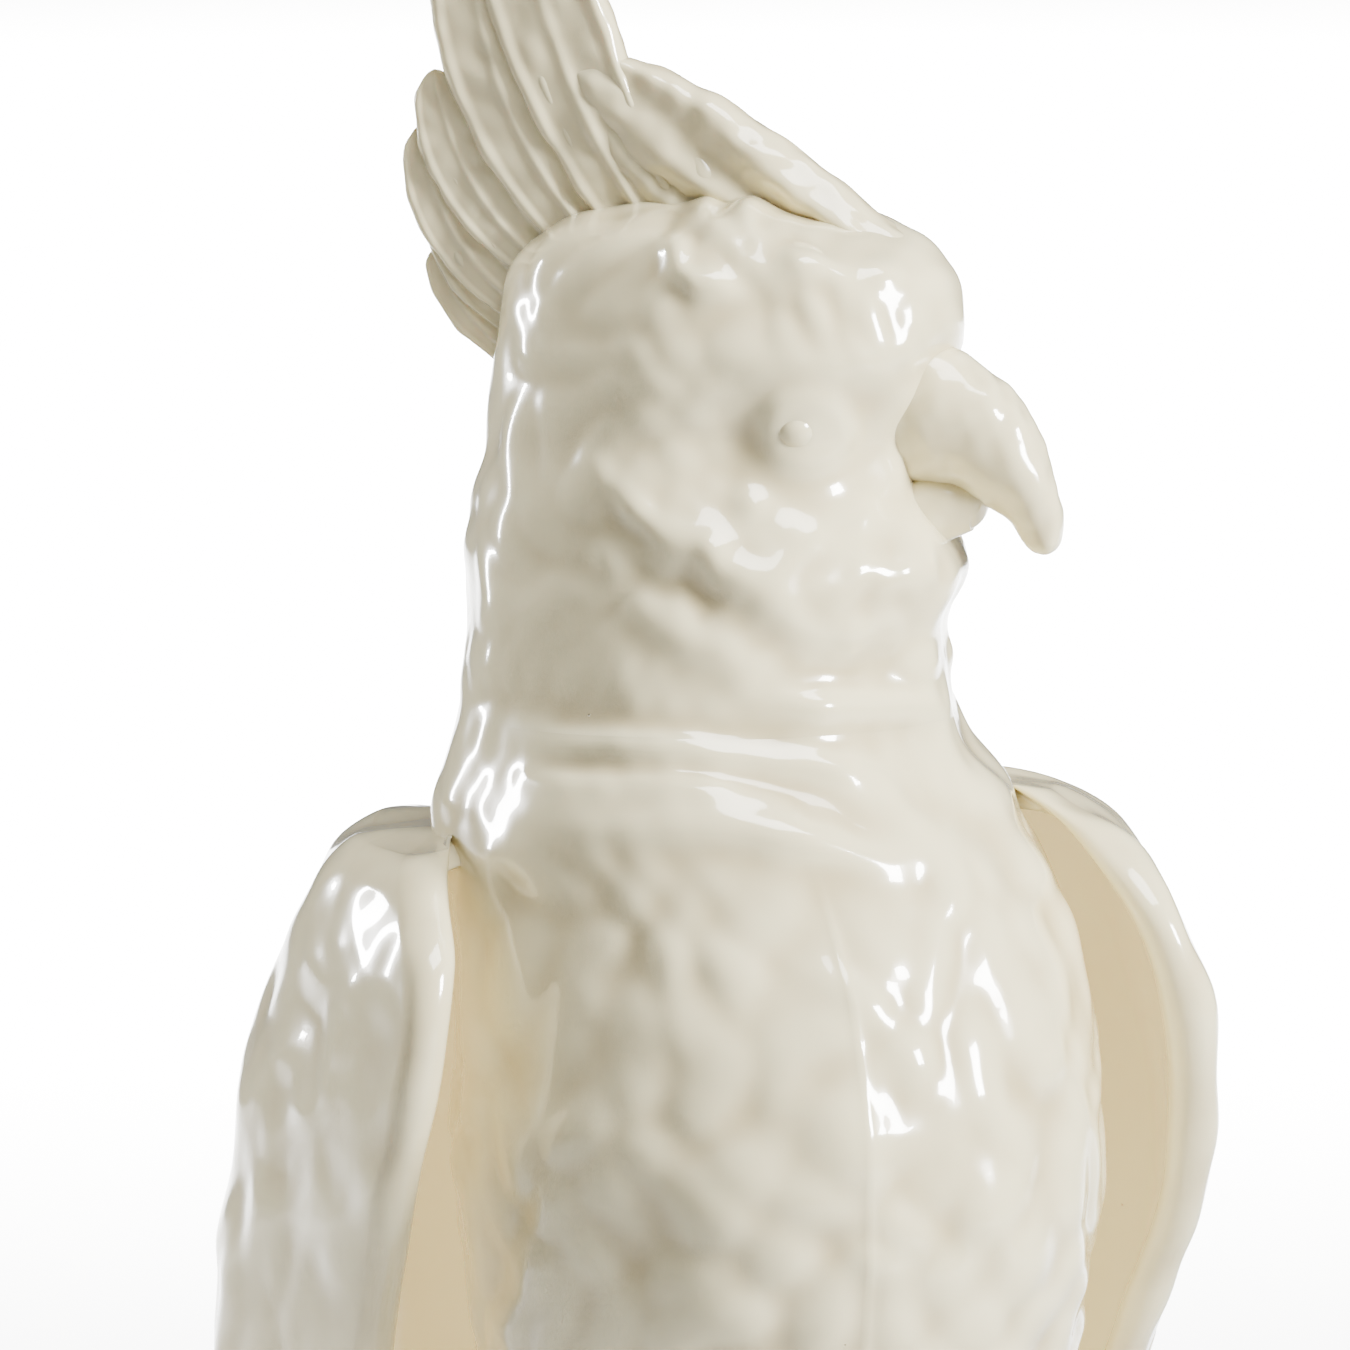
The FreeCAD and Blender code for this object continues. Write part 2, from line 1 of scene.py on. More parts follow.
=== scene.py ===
import bpy
import math
import numpy as np
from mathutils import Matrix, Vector


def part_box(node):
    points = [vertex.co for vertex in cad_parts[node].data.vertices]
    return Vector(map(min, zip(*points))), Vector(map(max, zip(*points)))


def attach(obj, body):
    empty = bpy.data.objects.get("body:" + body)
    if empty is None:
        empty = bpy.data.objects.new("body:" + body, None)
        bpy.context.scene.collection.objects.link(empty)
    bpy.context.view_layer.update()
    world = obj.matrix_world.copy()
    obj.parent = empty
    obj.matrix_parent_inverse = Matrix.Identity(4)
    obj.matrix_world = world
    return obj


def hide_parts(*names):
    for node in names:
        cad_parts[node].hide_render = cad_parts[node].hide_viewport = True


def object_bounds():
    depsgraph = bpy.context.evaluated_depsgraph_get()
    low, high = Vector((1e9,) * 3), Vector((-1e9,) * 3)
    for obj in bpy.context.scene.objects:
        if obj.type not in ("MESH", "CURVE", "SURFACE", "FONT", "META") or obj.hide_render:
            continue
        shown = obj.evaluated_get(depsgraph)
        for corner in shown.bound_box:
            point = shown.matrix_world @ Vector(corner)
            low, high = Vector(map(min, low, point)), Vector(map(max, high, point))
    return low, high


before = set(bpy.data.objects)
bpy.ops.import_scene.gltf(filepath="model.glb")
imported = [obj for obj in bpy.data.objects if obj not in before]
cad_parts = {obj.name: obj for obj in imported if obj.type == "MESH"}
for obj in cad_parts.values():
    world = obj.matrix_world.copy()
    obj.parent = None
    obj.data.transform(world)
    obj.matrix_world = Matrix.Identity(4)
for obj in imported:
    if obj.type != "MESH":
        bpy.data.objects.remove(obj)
cadBounds = [list(corner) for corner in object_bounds()]

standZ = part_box("torso")[0].z  # top of the stump, where the bird stands
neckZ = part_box("head")[0].z
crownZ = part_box("head")[1].z
mm = (crownZ - standZ) / 249  # one millimetre at the frame's size; shapes are written in these
print("frame loaded, stump top %.3f, neck %.3f, crown %.3f" % (standZ, neckZ, crownZ))


# ---- tools for surfaces

def smoothCurve(rows, t):
    # A cubic through rows of (t, value, value ...); the slope at each row comes from its neighbours.
    rows = np.asarray(rows, float)
    knots, values = rows[:, 0], rows[:, 1:]
    t = np.clip(np.asarray(t, float), knots[0], knots[-1])
    slopes = np.empty_like(values)
    slopes[1:-1] = (values[2:] - values[:-2]) / (knots[2:] - knots[:-2])[:, None]
    slopes[0] = (values[1] - values[0]) / (knots[1] - knots[0])
    slopes[-1] = (values[-1] - values[-2]) / (knots[-1] - knots[-2])
    i = np.clip(np.searchsorted(knots, t, side="right") - 1, 0, len(knots) - 2)
    span = (knots[i + 1] - knots[i])[..., None]
    s = (t - knots[i])[..., None] / span
    rise = values[i + 1] - values[i]
    cubic = (slopes[i] + slopes[i + 1]) * span - 2 * rise
    square = 3 * rise - (2 * slopes[i] + slopes[i + 1]) * span
    return np.moveaxis(values[i] + s * (slopes[i] * span + s * (square + s * cubic)), -1, 0)


def smoothStep(x, low, high):
    s = np.clip((x - low) / (high - low), 0, 1)
    return s * s * (3 - 2 * s)


def waves(points, size, seed, count=14):
    # Sine waves about one size long, in seeded directions, added up: a soft lumpy field near -1 to 1.
    rng = np.random.default_rng(seed)
    directions = rng.normal(size=(count, 3))
    directions /= np.linalg.norm(directions, axis=1, keepdims=True)
    lengths = size * rng.uniform(0.75, 1.45, count)
    phases = rng.uniform(0, 2 * math.pi, count)
    total = np.zeros(points.shape[:-1])
    for direction, length, phase in zip(directions, lengths, phases):
        total += np.sin(points @ direction * (2 * math.pi / length) + phase)
    return total / math.sqrt(count)


def soften(field, rounds):
    # Each round averages a grid with its neighbours; columns run round, rows end.
    for _ in range(rounds):
        field = (field + np.roll(field, 1, 1) + np.roll(field, -1, 1)) / 3
        padded = np.concatenate([field[:1], field, field[-1:]])
        field = (padded[:-2] + padded[1:-1] + padded[2:]) / 3
    return field


def gridNormals(points):
    # The cross product of the way round and the way up a grid that is closed round.
    around = np.roll(points, -1, 1) - np.roll(points, 1, 1)
    along = np.gradient(points, axis=0)
    normals = np.cross(around, along)
    return normals / (np.linalg.norm(normals, axis=-1, keepdims=True) + 1e-12)


def featherScales(around, down, count, seed, narrow=0.62, reach=2.1):
    # Overlapping tongues in offset rows. around counts feathers and down counts rows. Each tongue is
    # an arch across, rounds off at its tip and thickens towards it, and the highest one shows.
    jitter = np.random.default_rng(seed).uniform(-1, 1, (64, 64, 3))
    best = np.zeros_like(around)
    for back in range(3):
        row = np.floor(down) - back
        shifted = around - 0.5 * (row % 2)
        for beside in (-1, 0, 1):
            column = np.floor(shifted) + beside
            j = jitter[(row % 64).astype(int), (np.mod(column, count) % 64).astype(int)]
            x = (shifted - column - 0.5 - 0.15 * j[..., 0]) / narrow
            y = (down - row + 0.18 * j[..., 1]) / reach
            arch = 1 - x ** 2 - np.clip((y - 0.4) / 0.6, 0, None) ** 2
            swell = (0.2 + 0.8 * np.clip(y, 0, 1)) * (0.88 + 0.12 * j[..., 2])
            height = np.clip(arch, 0, None) ** 0.6 * swell
            best = np.maximum(best, height)
    return best


def shellParts(points):
    # Corners and faces of a grid closed round, with a fan to a middle point at each end.
    rows, columns = points.shape[:2]
    corners = np.vstack([points.reshape(-1, 3), points[0].mean(0), points[-1].mean(0)])
    start = (np.arange(rows - 1) * columns)[:, None]
    here = np.arange(columns)
    after = (here + 1) % columns
    quads = np.stack([start + here, start + after, start + after + columns, start + here + columns], -1)
    first = np.stack([np.full(columns, rows * columns), after, here], -1)
    top = (rows - 1) * columns
    last = np.stack([np.full(columns, rows * columns + 1), top + here, top + after], -1)
    return corners, quads.reshape(-1, 4).tolist() + first.tolist() + last.tolist()


def makePiece(name, node, grids, fields=None):
    # One mesh from one or more grids. fields are values on the grids' corners, for the glaze to read.
    corners, faces, ends, offset = [], [], [], 0
    for points in grids:
        shellCorners, shellFaces = shellParts(points)
        faces += [[i + offset for i in face] for face in shellFaces]
        corners.append(shellCorners)
        rings = np.zeros(len(shellCorners), int)
        rings[:points.shape[1]] = 1
        rings[-2 - points.shape[1]:-2] = 2
        ends.append(rings)
        offset += len(shellCorners)
    mesh = bpy.data.meshes.new(name)
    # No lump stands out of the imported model's box.
    corners = np.clip(np.vstack(corners), cadBounds[0], cadBounds[1])
    mesh.from_pydata(corners.tolist(), [], faces)
    mesh.polygons.foreach_set("use_smooth", [True] * len(mesh.polygons))
    # The edge round each flat end is sharp, so the side's shading runs straight up to it.
    ends = np.concatenate(ends)
    edges = np.empty(len(mesh.edges) * 2, int)
    mesh.edges.foreach_get("vertices", edges)
    edges = ends[edges.reshape(-1, 2)]
    sharp = (edges[:, 0] == edges[:, 1]) & (edges[:, 0] > 0)
    mesh.attributes.new("sharp_edge", "BOOLEAN", "EDGE").data.foreach_set("value", sharp)
    for key, values in (fields or {}).items():
        flat = np.concatenate([np.append(v.reshape(-1), [v[0].mean(), v[-1].mean()]) for v in values])
        mesh.attributes.new(key, "FLOAT", "POINT").data.foreach_set("value", flat.astype(np.float32))
    mesh.validate()
    piece = bpy.data.objects.new(name, mesh)
    bpy.context.scene.collection.objects.link(piece)
    mesh.materials.append(glaze)
    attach(piece, "root")
    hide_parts(node)
    print("made", name, "faces", len(mesh.polygons))
    return piece


def pooling(relief, rounds):
    # How far a point stands above or below what is round it, for glaze that gathers in the lows.
    return soften(relief, 2) - soften(relief, rounds)


# ---- materials

class Wire:
    # A node socket that adds, subtracts and multiplies like a number.
    def __init__(self, tree, socket):
        self.tree = tree
        self.socket = socket

    def join(self, operation, first, second):
        return addNode(self.tree, "ShaderNodeMath", {"operation": operation}, {0: first, 1: second})

    def __add__(self, other):
        return self.join("ADD", self, other)

    def __radd__(self, other):
        return self.join("ADD", other, self)

    def __sub__(self, other):
        return self.join("SUBTRACT", self, other)

    def __rsub__(self, other):
        return self.join("SUBTRACT", other, self)

    def __mul__(self, other):
        return self.join("MULTIPLY", self, other)

    def __rmul__(self, other):
        return self.join("MULTIPLY", other, self)


def addNode(tree, kind, settings=None, sockets=None, output=0):
    # Any node: its settings first, then a value or a link for each named or numbered socket.
    node = tree.nodes.new(kind)
    for key, value in (settings or {}).items():
        setattr(node, key, value)
    for key, value in (sockets or {}).items():
        if isinstance(value, Wire):
            tree.links.new(value.socket, node.inputs[key])
        else:
            node.inputs[key].default_value = value
    return Wire(tree, node.outputs[output]) if node.outputs else node


def ramp(value, low, high):
    # 0 below low, 1 above high and an easy slope between.
    sockets = {"Value": value, "From Min": low, "From Max": high}
    return addNode(value.tree, "ShaderNodeMapRange", {"interpolation_type": "SMOOTHSTEP"}, sockets)


def mixColour(amount, first, second):
    tree = amount.tree
    return addNode(tree, "ShaderNodeMix", {"data_type": "RGBA"}, {0: amount, 6: first, 7: second}, 2)


def newMaterial(name):
    material = bpy.data.materials.new(name)
    material.use_nodes = True
    tree = material.node_tree
    tree.nodes.clear()
    place = addNode(tree, "ShaderNodeTexCoord", output="Object")
    return material, tree, place


glazeValues = {
    "pale": (0.86, 0.775, 0.49, 1),  # thin glaze on the highs
    "pooled": (0.62, 0.52, 0.29, 1),  # thick glaze in the lows
    "paintedGapLight": (0.97, 0.91, 0.70, 1),  # painted bounce light deep inside the wings and on the torso behind them
    # painted glow colour and strength for the wing gaps, an emission that stands in for light
    "paintedGlowColour": (1.0, 0.80, 0.42, 1),
    "paintedGlow": 0.32,
    "poolingSpan": 0.55,  # millimetres of relief from thin glaze to thick
    "roughness": 0.16,
    "coat": 1.0,
    "coatRoughness": 0.025,
    "ripple": 0.10,  # depth of the glaze's own slow ripple, millimetres
    "pinholeSpacing": 15.0,
    "pinholeRadius": 0.28,
}


def makeGlaze():
    material, tree, place = newMaterial("ivoryGlaze")
    v = glazeValues
    relief = addNode(tree, "ShaderNodeAttribute", {"attribute_name": "relief"}, None, "Fac")
    shade = addNode(tree, "ShaderNodeAttribute", {"attribute_name": "shade"}, None, "Fac")
    cloud = addNode(tree, "ShaderNodeTexNoise", None, {"Vector": place, "Scale": 0.03 / mm, "Detail": 3.0})
    speckle = addNode(tree, "ShaderNodeTexNoise", None, {"Vector": place, "Scale": 0.35 / mm, "Detail": 2.0})
    thick = ramp(relief * (-1 / v["poolingSpan"]) + cloud * 0.5 + speckle * 0.12 - 0.06, 0.0, 1.0)
    colour = mixColour(thick, v["pale"], v["pooled"])
    # Painted bounce light: where the shade attribute is high, the colour turns to a paler warm tint that
    # stands in for light reflected between wing and body.
    colour = mixColour(ramp(shade, 0.0, 1.0), colour, v["paintedGapLight"])
    # Painted glow: an emission on the insides of the wings and the torso behind them, which stands in for
    # light reaching those gaps.
    paintedGlow = mixColour(ramp(shade, 0.0, 1.0), (0, 0, 0, 1), v["paintedGlowColour"])
    # Pinholes: the middles of some Voronoi cells.
    cells = {"Vector": place, "Scale": 1 / (v["pinholeSpacing"] * mm)}
    distance = addNode(tree, "ShaderNodeTexVoronoi", None, cells)
    hue = addNode(tree, "ShaderNodeTexVoronoi", None, cells, 1)
    chosen = ramp(addNode(tree, "ShaderNodeSeparateColor", None, {0: hue}), 0.55, 0.6)
    radius = v["pinholeRadius"] / v["pinholeSpacing"]
    pinhole = (1 - ramp(distance, radius * 0.5, radius)) * chosen
    colour = mixColour(pinhole * 0.55, colour, (0.30, 0.25, 0.18, 1))
    # Slow ripple of the glaze and a finer grain under it.
    slow = addNode(tree, "ShaderNodeTexNoise", None, {"Vector": place, "Scale": 0.14 / mm, "Detail": 1.0})
    fine = addNode(tree, "ShaderNodeTexNoise", None, {"Vector": place, "Scale": 0.9 / mm, "Detail": 2.0})
    height = slow * 1.0 + fine * 0.05 - pinhole * 2.0
    depth = {"Strength": 1.0, "Distance": v["ripple"] * mm, "Height": height}
    bump = addNode(tree, "ShaderNodeBump", None, depth)
    shader = addNode(tree, "ShaderNodeBsdfPrincipled", None, {
        "Base Color": colour,
        "Roughness": v["roughness"] + thick * 0.08 + pinhole * 0.3,
        "Coat Weight": v["coat"],
        "Coat Roughness": v["coatRoughness"],
        "Coat IOR": 1.5,
        "IOR": 1.5,
        "Subsurface Weight": 0.12,
        "Subsurface Radius": (3.0, 2.2, 1.4),
        "Subsurface Scale": mm,
        # painted glow in the wing gaps, standing in for light
        "Emission Color": paintedGlow,
        "Emission Strength": v["paintedGlow"],
        "Normal": bump,
    })
    addNode(tree, "ShaderNodeOutputMaterial", None, {0: shader})
    return material


biscuitValues = {"light": (0.72, 0.64, 0.52, 1), "dark": (0.56, 0.48, 0.37, 1), "roughness": 0.85}


def makeBiscuit():
    material, tree, place = newMaterial("bareBiscuit")
    v = biscuitValues
    cloud = addNode(tree, "ShaderNodeTexNoise", None, {"Vector": place, "Scale": 0.08 / mm, "Detail": 4.0})
    grain = addNode(tree, "ShaderNodeTexNoise", None, {"Vector": place, "Scale": 2.0 / mm, "Detail": 3.0})
    colour = mixColour(ramp(cloud + grain * 0.3, 0.45, 0.85), v["light"], v["dark"])
    bump = addNode(tree, "ShaderNodeBump", None, {"Strength": 0.5, "Distance": 0.15 * mm, "Height": grain})
    shader = addNode(tree, "ShaderNodeBsdfPrincipled", None, {
        "Base Color": colour,
        "Roughness": v["roughness"] + grain * 0.1,
        "Normal": bump,
    })
    addNode(tree, "ShaderNodeOutputMaterial", None, {0: shader})
    return material


glaze = makeGlaze()
biscuit = makeBiscuit()
print("materials made")


# ---- torso and head, one surface cut at the neck

bodyValues = {
    "columns": 400,
    "torsoRows": 228,
    "headRows": 156,
    "headTurn": math.radians(-30),  # the face's direction, measured from +X
    "neckCentre": (-6.0, 10.0),
    # up from the stump's top, side shift, back shift, half width, half depth
    "torso": [
        (0, 0, 8.0, 32.0, 32.3),
        (27.5, 0, 2.9, 38.0, 38.5),
        (53, 0, -1.9, 42.5, 42.3),
        (77, 0, -6.1, 46.0, 45.6),
        (103, 0, -8.0, 49.0, 47.5),
        (127, -0.3, -5.1, 49.0, 46.1),
        (146, -2.1, 0.0, 46.7, 42.8),
        (160, -5.0, 5.4, 43.2, 40.0),
        (167, -5.8, 8.3, 39.9, 38.3),
        (174, -6.0, 9.8, 37.6, 37.4),
        (184, -6.0, 10.2, 36.9, 36.8),
        (200, -6.0, 10.2, 36.6, 36.4),
    ],
    # share along the outline, up from the neck, half length, half width, forward shift
    "head": [
        (-0.15, -16, 39.6, 39.4, -0.3),
        (0.00, 0, 37.6, 37.4, 0.0),
        (0.07, 7, 36.9, 35.9, -0.6),
        (0.13, 13.5, 36.8, 34.6, -0.2),
        (0.22, 22.3, 38.5, 32.6, 1.5),
        (0.31, 31.0, 35.4, 30.6, -0.6),
        (0.41, 41.0, 32.6, 28.6, -1.0),
        (0.50, 50.0, 34.2, 28.2, 1.7),
        (0.57, 57.0, 35.4, 27.3, 3.4),
        (0.63, 63.0, 34.8, 25.6, 3.7),
        (0.70, 68.7, 32.0, 22.6, 3.4),
        (0.76, 72.6, 26.8, 18.4, 3.0),
        (0.83, 75.3, 19.6, 13.4, 2.6),
        (0.91, 76.6, 10.4, 7.2, 2.4),
        (1.00, 77.0, 0.3, 0.3, 2.3),
    ],
}
faceDirection = np.array([math.cos(bodyValues["headTurn"]), math.sin(bodyValues["headTurn"]), 0.0])
cheekDirection = np.array([faceDirection[1], -faceDirection[0], 0.0])  # towards the bird's right
neckCentre = np.array([*bodyValues["neckCentre"], 0.0]) * mm + np.array([0, 0, neckZ])


def headPlace(points):
    # Millimetres forward along the face, up from the neck and out from the middle plane.
    local = (points - neckCentre) / mm
    return local @ faceDirection, local[..., 2], local @ cheekDirection


def ovalRadius(angle, first, second):
    return 1 / np.sqrt((np.cos(angle) / first) ** 2 + (np.sin(angle) / second) ** 2)


def bodyGrid():
    # Rows from the stump's top to the crown. Each row mixes an oval square to the chest with an oval
    # along the face, and the mix passes from one to the other across the neck.
    v = bodyValues
    angle = np.linspace(0, 2 * math.pi, v["columns"], endpoint=False)[None, :]
    torsoUp = np.linspace(0, (neckZ - standZ) / mm, v["torsoRows"])
    headShare = np.linspace(0, 1, v["headRows"] + 1)[1:-1]
    headUp = smoothCurve(v["head"], headShare)[0]
    up = np.concatenate([torsoUp, headUp + torsoUp[-1]])
    share = np.concatenate([np.clip((torsoUp - torsoUp[-1]) / 107, -0.15, 0), headShare])
    sideShift, backShift, halfWidth, halfDepth = (c[:, None] for c in smoothCurve(v["torso"], up))
    halfLength, halfAcross, forward = (c[:, None] for c in smoothCurve(v["head"], share)[1:])
    ring = np.stack([np.cos(angle), np.sin(angle), 0 * angle], -1)
    chest = ring * ovalRadius(angle, halfWidth, halfDepth)[..., None]
    chest = chest + np.stack([sideShift, backShift, 0 * backShift], -1)
    face = ring * ovalRadius(angle - v["headTurn"], halfLength, halfAcross)[..., None]
    face = face + np.array([*v["neckCentre"], 0]) + forward[..., None] * faceDirection
    turn = smoothStep(up, torsoUp[-1] - 14, torsoUp[-1] + 10)[:, None, None]
    points = (chest * (1 - turn) + face * turn) * mm
    points[..., 2] = (standZ + up * mm)[:, None]
    return points, angle, up[:, None] - torsoUp[-1]


def mound(first, second, at, size, tilt=0.0):
    # A bell-shaped swelling in a plane of two coordinates, turned by tilt degrees.
    c, s = math.cos(math.radians(tilt)), math.sin(math.radians(tilt))
    x = (first - at[0]) * c + (second - at[1]) * s
    y = (second - at[1]) * c - (first - at[0]) * s
    return np.exp(-((x / size[0]) ** 2) - (y / size[1]) ** 2)


def ridge(first, second, path, width):
    # A rounded ridge along a line of points: a bell shape of the distance to the nearest stretch.
    nearest = np.full(np.shape(first + second), 1e9)
    for (ax, ay), (bx, by) in zip(path[:-1], path[1:]):
        along = ((first - ax) * (bx - ax) + (second - ay) * (by - ay)) / ((bx - ax) ** 2 + (by - ay) ** 2)
        along = np.clip(along, 0, 1)
        gap = (first - ax - along * (bx - ax)) ** 2 + (second - ay - along * (by - ay)) ** 2
        nearest = np.minimum(nearest, gap)
    return np.exp(-nearest / width ** 2)


plumageValues = {
    "chestHeight": 4.3,
    "chestCount": 20,  # feathers in a ring
    "neckHeight": 1.3,
    "neckCount": 34,
    "faceHeight": 2.4,
    "faceCount": 30,
    "foldHeight": 2.9,
    # up from the neck joint, degrees round from the folds' middle, spread in degrees, share of the height
    "frontFolds": [(-3, -4, 42, 1.0), (-8.5, -14, 30, 0.9), (-14, 2, 36, 0.9), (4, 40, 26, 0.6)],
    "backFolds": [(-6, 150, 50, 0.7), (-14, 190, 40, 0.7), (-10, 95, 30, 0.6)],
    "seamHeight": 0.25,  # mould seam down the breast
    # forward and up where each fold starts, share of the height
    "cheekFolds": [(-12, 40, 0.9), (-3, 33, 1.0), (5, 26, 0.9), (-8, 24, 0.8), (12, 36, 0.6), (3, 17, 0.7)],
}


def bodyRelief(points, angle, up):
    # Height of the modelled feathers, folds and face over the plain body, in millimetres.
    v = plumageValues
    drift = waves(points, 34 * mm, 3)
    sway = waves(points, 27 * mm, 4)
    turns = angle / (2 * math.pi)
    # Breast feathers: rows 11.5 mm apart high up and 7.5 mm lower down.
    rowHeight = smoothCurve([(-172, 8.0), (-90, 8.5), (-60, 10.5), (-25, 12.0), (10, 12.0)], up[:, 0])[0]
    down = -np.cumsum(np.gradient(up[:, 0]) / rowHeight)[:, None]
    down = down - down.min() + 3
    breast = featherScales(turns * v["chestCount"] + 0.22 * drift, down + 0.38 * sway, v["chestCount"], 11)
    breastMask = 1 - smoothStep(up + 2.5 * drift, -26, -13)
    relief = v["chestHeight"] * (breast - 0.55) * breastMask
    # Neck feathers: short flat rows.
    neckDown = 60 - up / 5.2
    neckTurns = turns * v["neckCount"] + 0.25 * sway
    neck = featherScales(neckTurns, neckDown + 0.35 * drift, v["neckCount"], 12, 0.7)
    neckMask = smoothStep(up, -22, -8) * (1 - smoothStep(up + 3 * sway, 12, 24))
    relief = relief + v["neckHeight"] * (neck - 0.5) * neckMask
    # Long folds at the root of the neck, falling towards the bird's left.
    turn = (np.degrees(angle) + 106 + 180) % 360 - 180
    for level, middle, spread, depth in v["frontFolds"]:
        line = level - 0.075 * (turn - middle) + 0.9 * drift
        window = np.exp(-(((turn - middle) / spread) ** 4))
        relief = relief + v["foldHeight"] * depth * window * np.exp(-(((up - line) / 1.9) ** 2))
    for level, middle, spread, depth in v["backFolds"]:
        line = level + 1.2 * drift
        window = np.exp(-((((turn - middle + 180) % 360 - 180) / spread) ** 4))
        relief = relief + v["foldHeight"] * depth * window * np.exp(-(((up - line) / 2.6) ** 2))
    # Face feathers: rings that spread back from the beak.
    forward, height, side = headPlace(points)
    reach = np.sqrt((forward - 37) ** 2 + ((height - 39) * 1.05) ** 2)
    bearing = np.arctan2(height - 39, forward - 37) / (2 * math.pi)
    side = np.abs(side)
    faceTurns = bearing * v["faceCount"] + 0.3 * sway
    face = featherScales(faceTurns, reach / 6.4 + 0.35 * drift + 3, v["faceCount"], 13)
    faceMask = smoothStep(up + 2 * drift, 13, 24) * smoothStep(reach, 10, 15)
    eyeGap = np.hypot(forward - 20.4, height - 45.0)
    faceMask = faceMask * (0.25 + 0.75 * smoothStep(eyeGap, 8, 16))
    relief = relief + v["faceHeight"] * (face - 0.5) * faceMask
    # Face modelling: hollows round the eye, brow, cheek flap and the groove under it.
    cheeks = smoothStep(side, 6, 16)
    relief = relief - 2.3 * cheeks * mound(forward, height, (11.5, 43.5), (6.5, 6.0), 20)
    relief = relief - 1.6 * cheeks * mound(forward, height, (29.5, 46), (4.6, 5.0))
    relief = relief - 1.1 * cheeks * mound(forward, height, (19, 36), (7, 3.6))
    relief = relief + 1.3 * cheeks * mound(forward, height, (21, 54.5), (9, 3.2), -8)
    relief = relief + 1.0 * cheeks * np.exp(-(((eyeGap - 5.0) / 1.5) ** 2))
    relief = relief + 1.5 * cheeks * mound(forward, height, (17, 25), (10, 8), -20)
    groove = [(3.2, 34), (4.8, 27), (7.5, 20), (13, 15.5), (20, 13.5), (28, 13.5)]
    broken = 0.6 + 0.5 * waves(points, 13 * mm, 7)  # the folds come and go along their length
    relief = relief - 0.6 * broken * cheeks * ridge(forward, height, groove, 2.8)
    flap = [(6.6, 31), (8.6, 24), (12, 19.4), (18, 17.0), (26, 16.8)]
    relief = relief + 0.6 * broken * cheeks * ridge(forward, height, flap, 2.3)
    second = [(13, 35), (13.6, 29), (17, 24), (24, 21.5)]
    relief = relief + 0.6 * broken * cheeks * ridge(forward, height, second, 2.0)
    # Soft slanting folds from the cheek down to the throat, and the lids that the eye sits in.
    for start, rise, depth in v["cheekFolds"]:
        path = [(start, rise), (start + 9, rise - 7), (start + 20, rise - 13)]
        relief = relief + depth * cheeks * ridge(forward + 1.5 * drift, height + 1.5 * sway, path, 2.4)
    relief = relief + 1.9 * cheeks * mound(forward, height, (20.6, 45.2), (6.2, 5.2))
    # Small knots of feather at the corner of the beak and down the throat.
    rng = np.random.default_rng(21)
    for _ in range(34):
        at = (rng.uniform(27, 39), rng.uniform(8, 42))
        size = rng.uniform(1.1, 1.9)
        knot = rng.uniform(0.35, 0.75) * smoothStep(side, 3, 9)
        relief = relief + knot * mound(forward, height, at, (size, size * 1.5), -25)
    # Tufts where the brow feathers start, swept back over the crown.
    for _ in range(22):
        at = (rng.uniform(-8, 30), rng.uniform(66, 77))
        tuft = rng.uniform(0.5, 1.1)
        size, tilt = (rng.uniform(2.6, 4.4), 1.5), rng.uniform(-40, -15)
        relief = relief + tuft * mound(forward, height, at, size, tilt)
    relief = relief + 0.55 * waves(points, 21 * mm, 5) + 0.2 * waves(points, 11 * mm, 6)
    relief = soften(relief, 5)
    seam = np.exp(-(((np.degrees(angle) - 270) * 0.84 / 0.8) ** 2)) * (1 - smoothStep(up, -30, -16))
    return relief + v["seamHeight"] * seam


def makeBody():
    points, angle, up = bodyGrid()
    relief = bodyRelief(points, angle, up)
    relief[-1] = relief[-2].mean()
    shaped = points + gridNormals(points) * relief[..., None] * mm
    bed = pooling(relief, 14)
    cut = bodyValues["torsoRows"]
    lower, upper = shaped[:cut], shaped[cut - 1:]
    turn = np.abs((np.degrees(angle) + 90 + 180) % 360 - 180)  # degrees from the breast's middle
    # Painted bounce light: the torso's sides under the wings are marked for the paler warm tint that stands
    # in for light reflected from the wings.
    paintedGapLight = 0.5 * smoothStep(turn, 60, 88) * (1 - smoothStep(up, -34, -14))
    makePiece("torsoShell", "torso", [lower], {"relief": [bed[:cut]], "shade": [paintedGapLight[:cut]]})
    makePiece("headShell", "head", [upper], {"relief": [bed[cut - 1:]], "shade": [paintedGapLight[cut - 1:]]})


makeBody()


# ---- eyes

def ballGrid(centre, radius, flatten=1.0, rows=40, columns=60):
    # A ball whose rows run from the lower pole to the upper one, pressed flat by a share.
    latitude = np.linspace(-math.pi / 2, math.pi / 2, rows + 2)[1:-1, None]
    longitude = np.linspace(0, 2 * math.pi, columns, endpoint=False)[None, :]
    x, y = np.cos(latitude) * np.cos(longitude), np.cos(latitude) * np.sin(longitude)
    return centre + radius * np.stack([x, y, np.sin(latitude) * flatten + 0 * longitude], -1)


def makeEye(name, node):
    low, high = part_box(node)
    makePiece(name, node, [ballGrid(np.array((low + high) / 2), (high.z - low.z) / 2, 0.94)])


makeEye("rightEye", "right_eye")
makeEye("leftEye", "left_eye")


# ---- pieces strung along a curve: beak, crest, tail, legs and toes

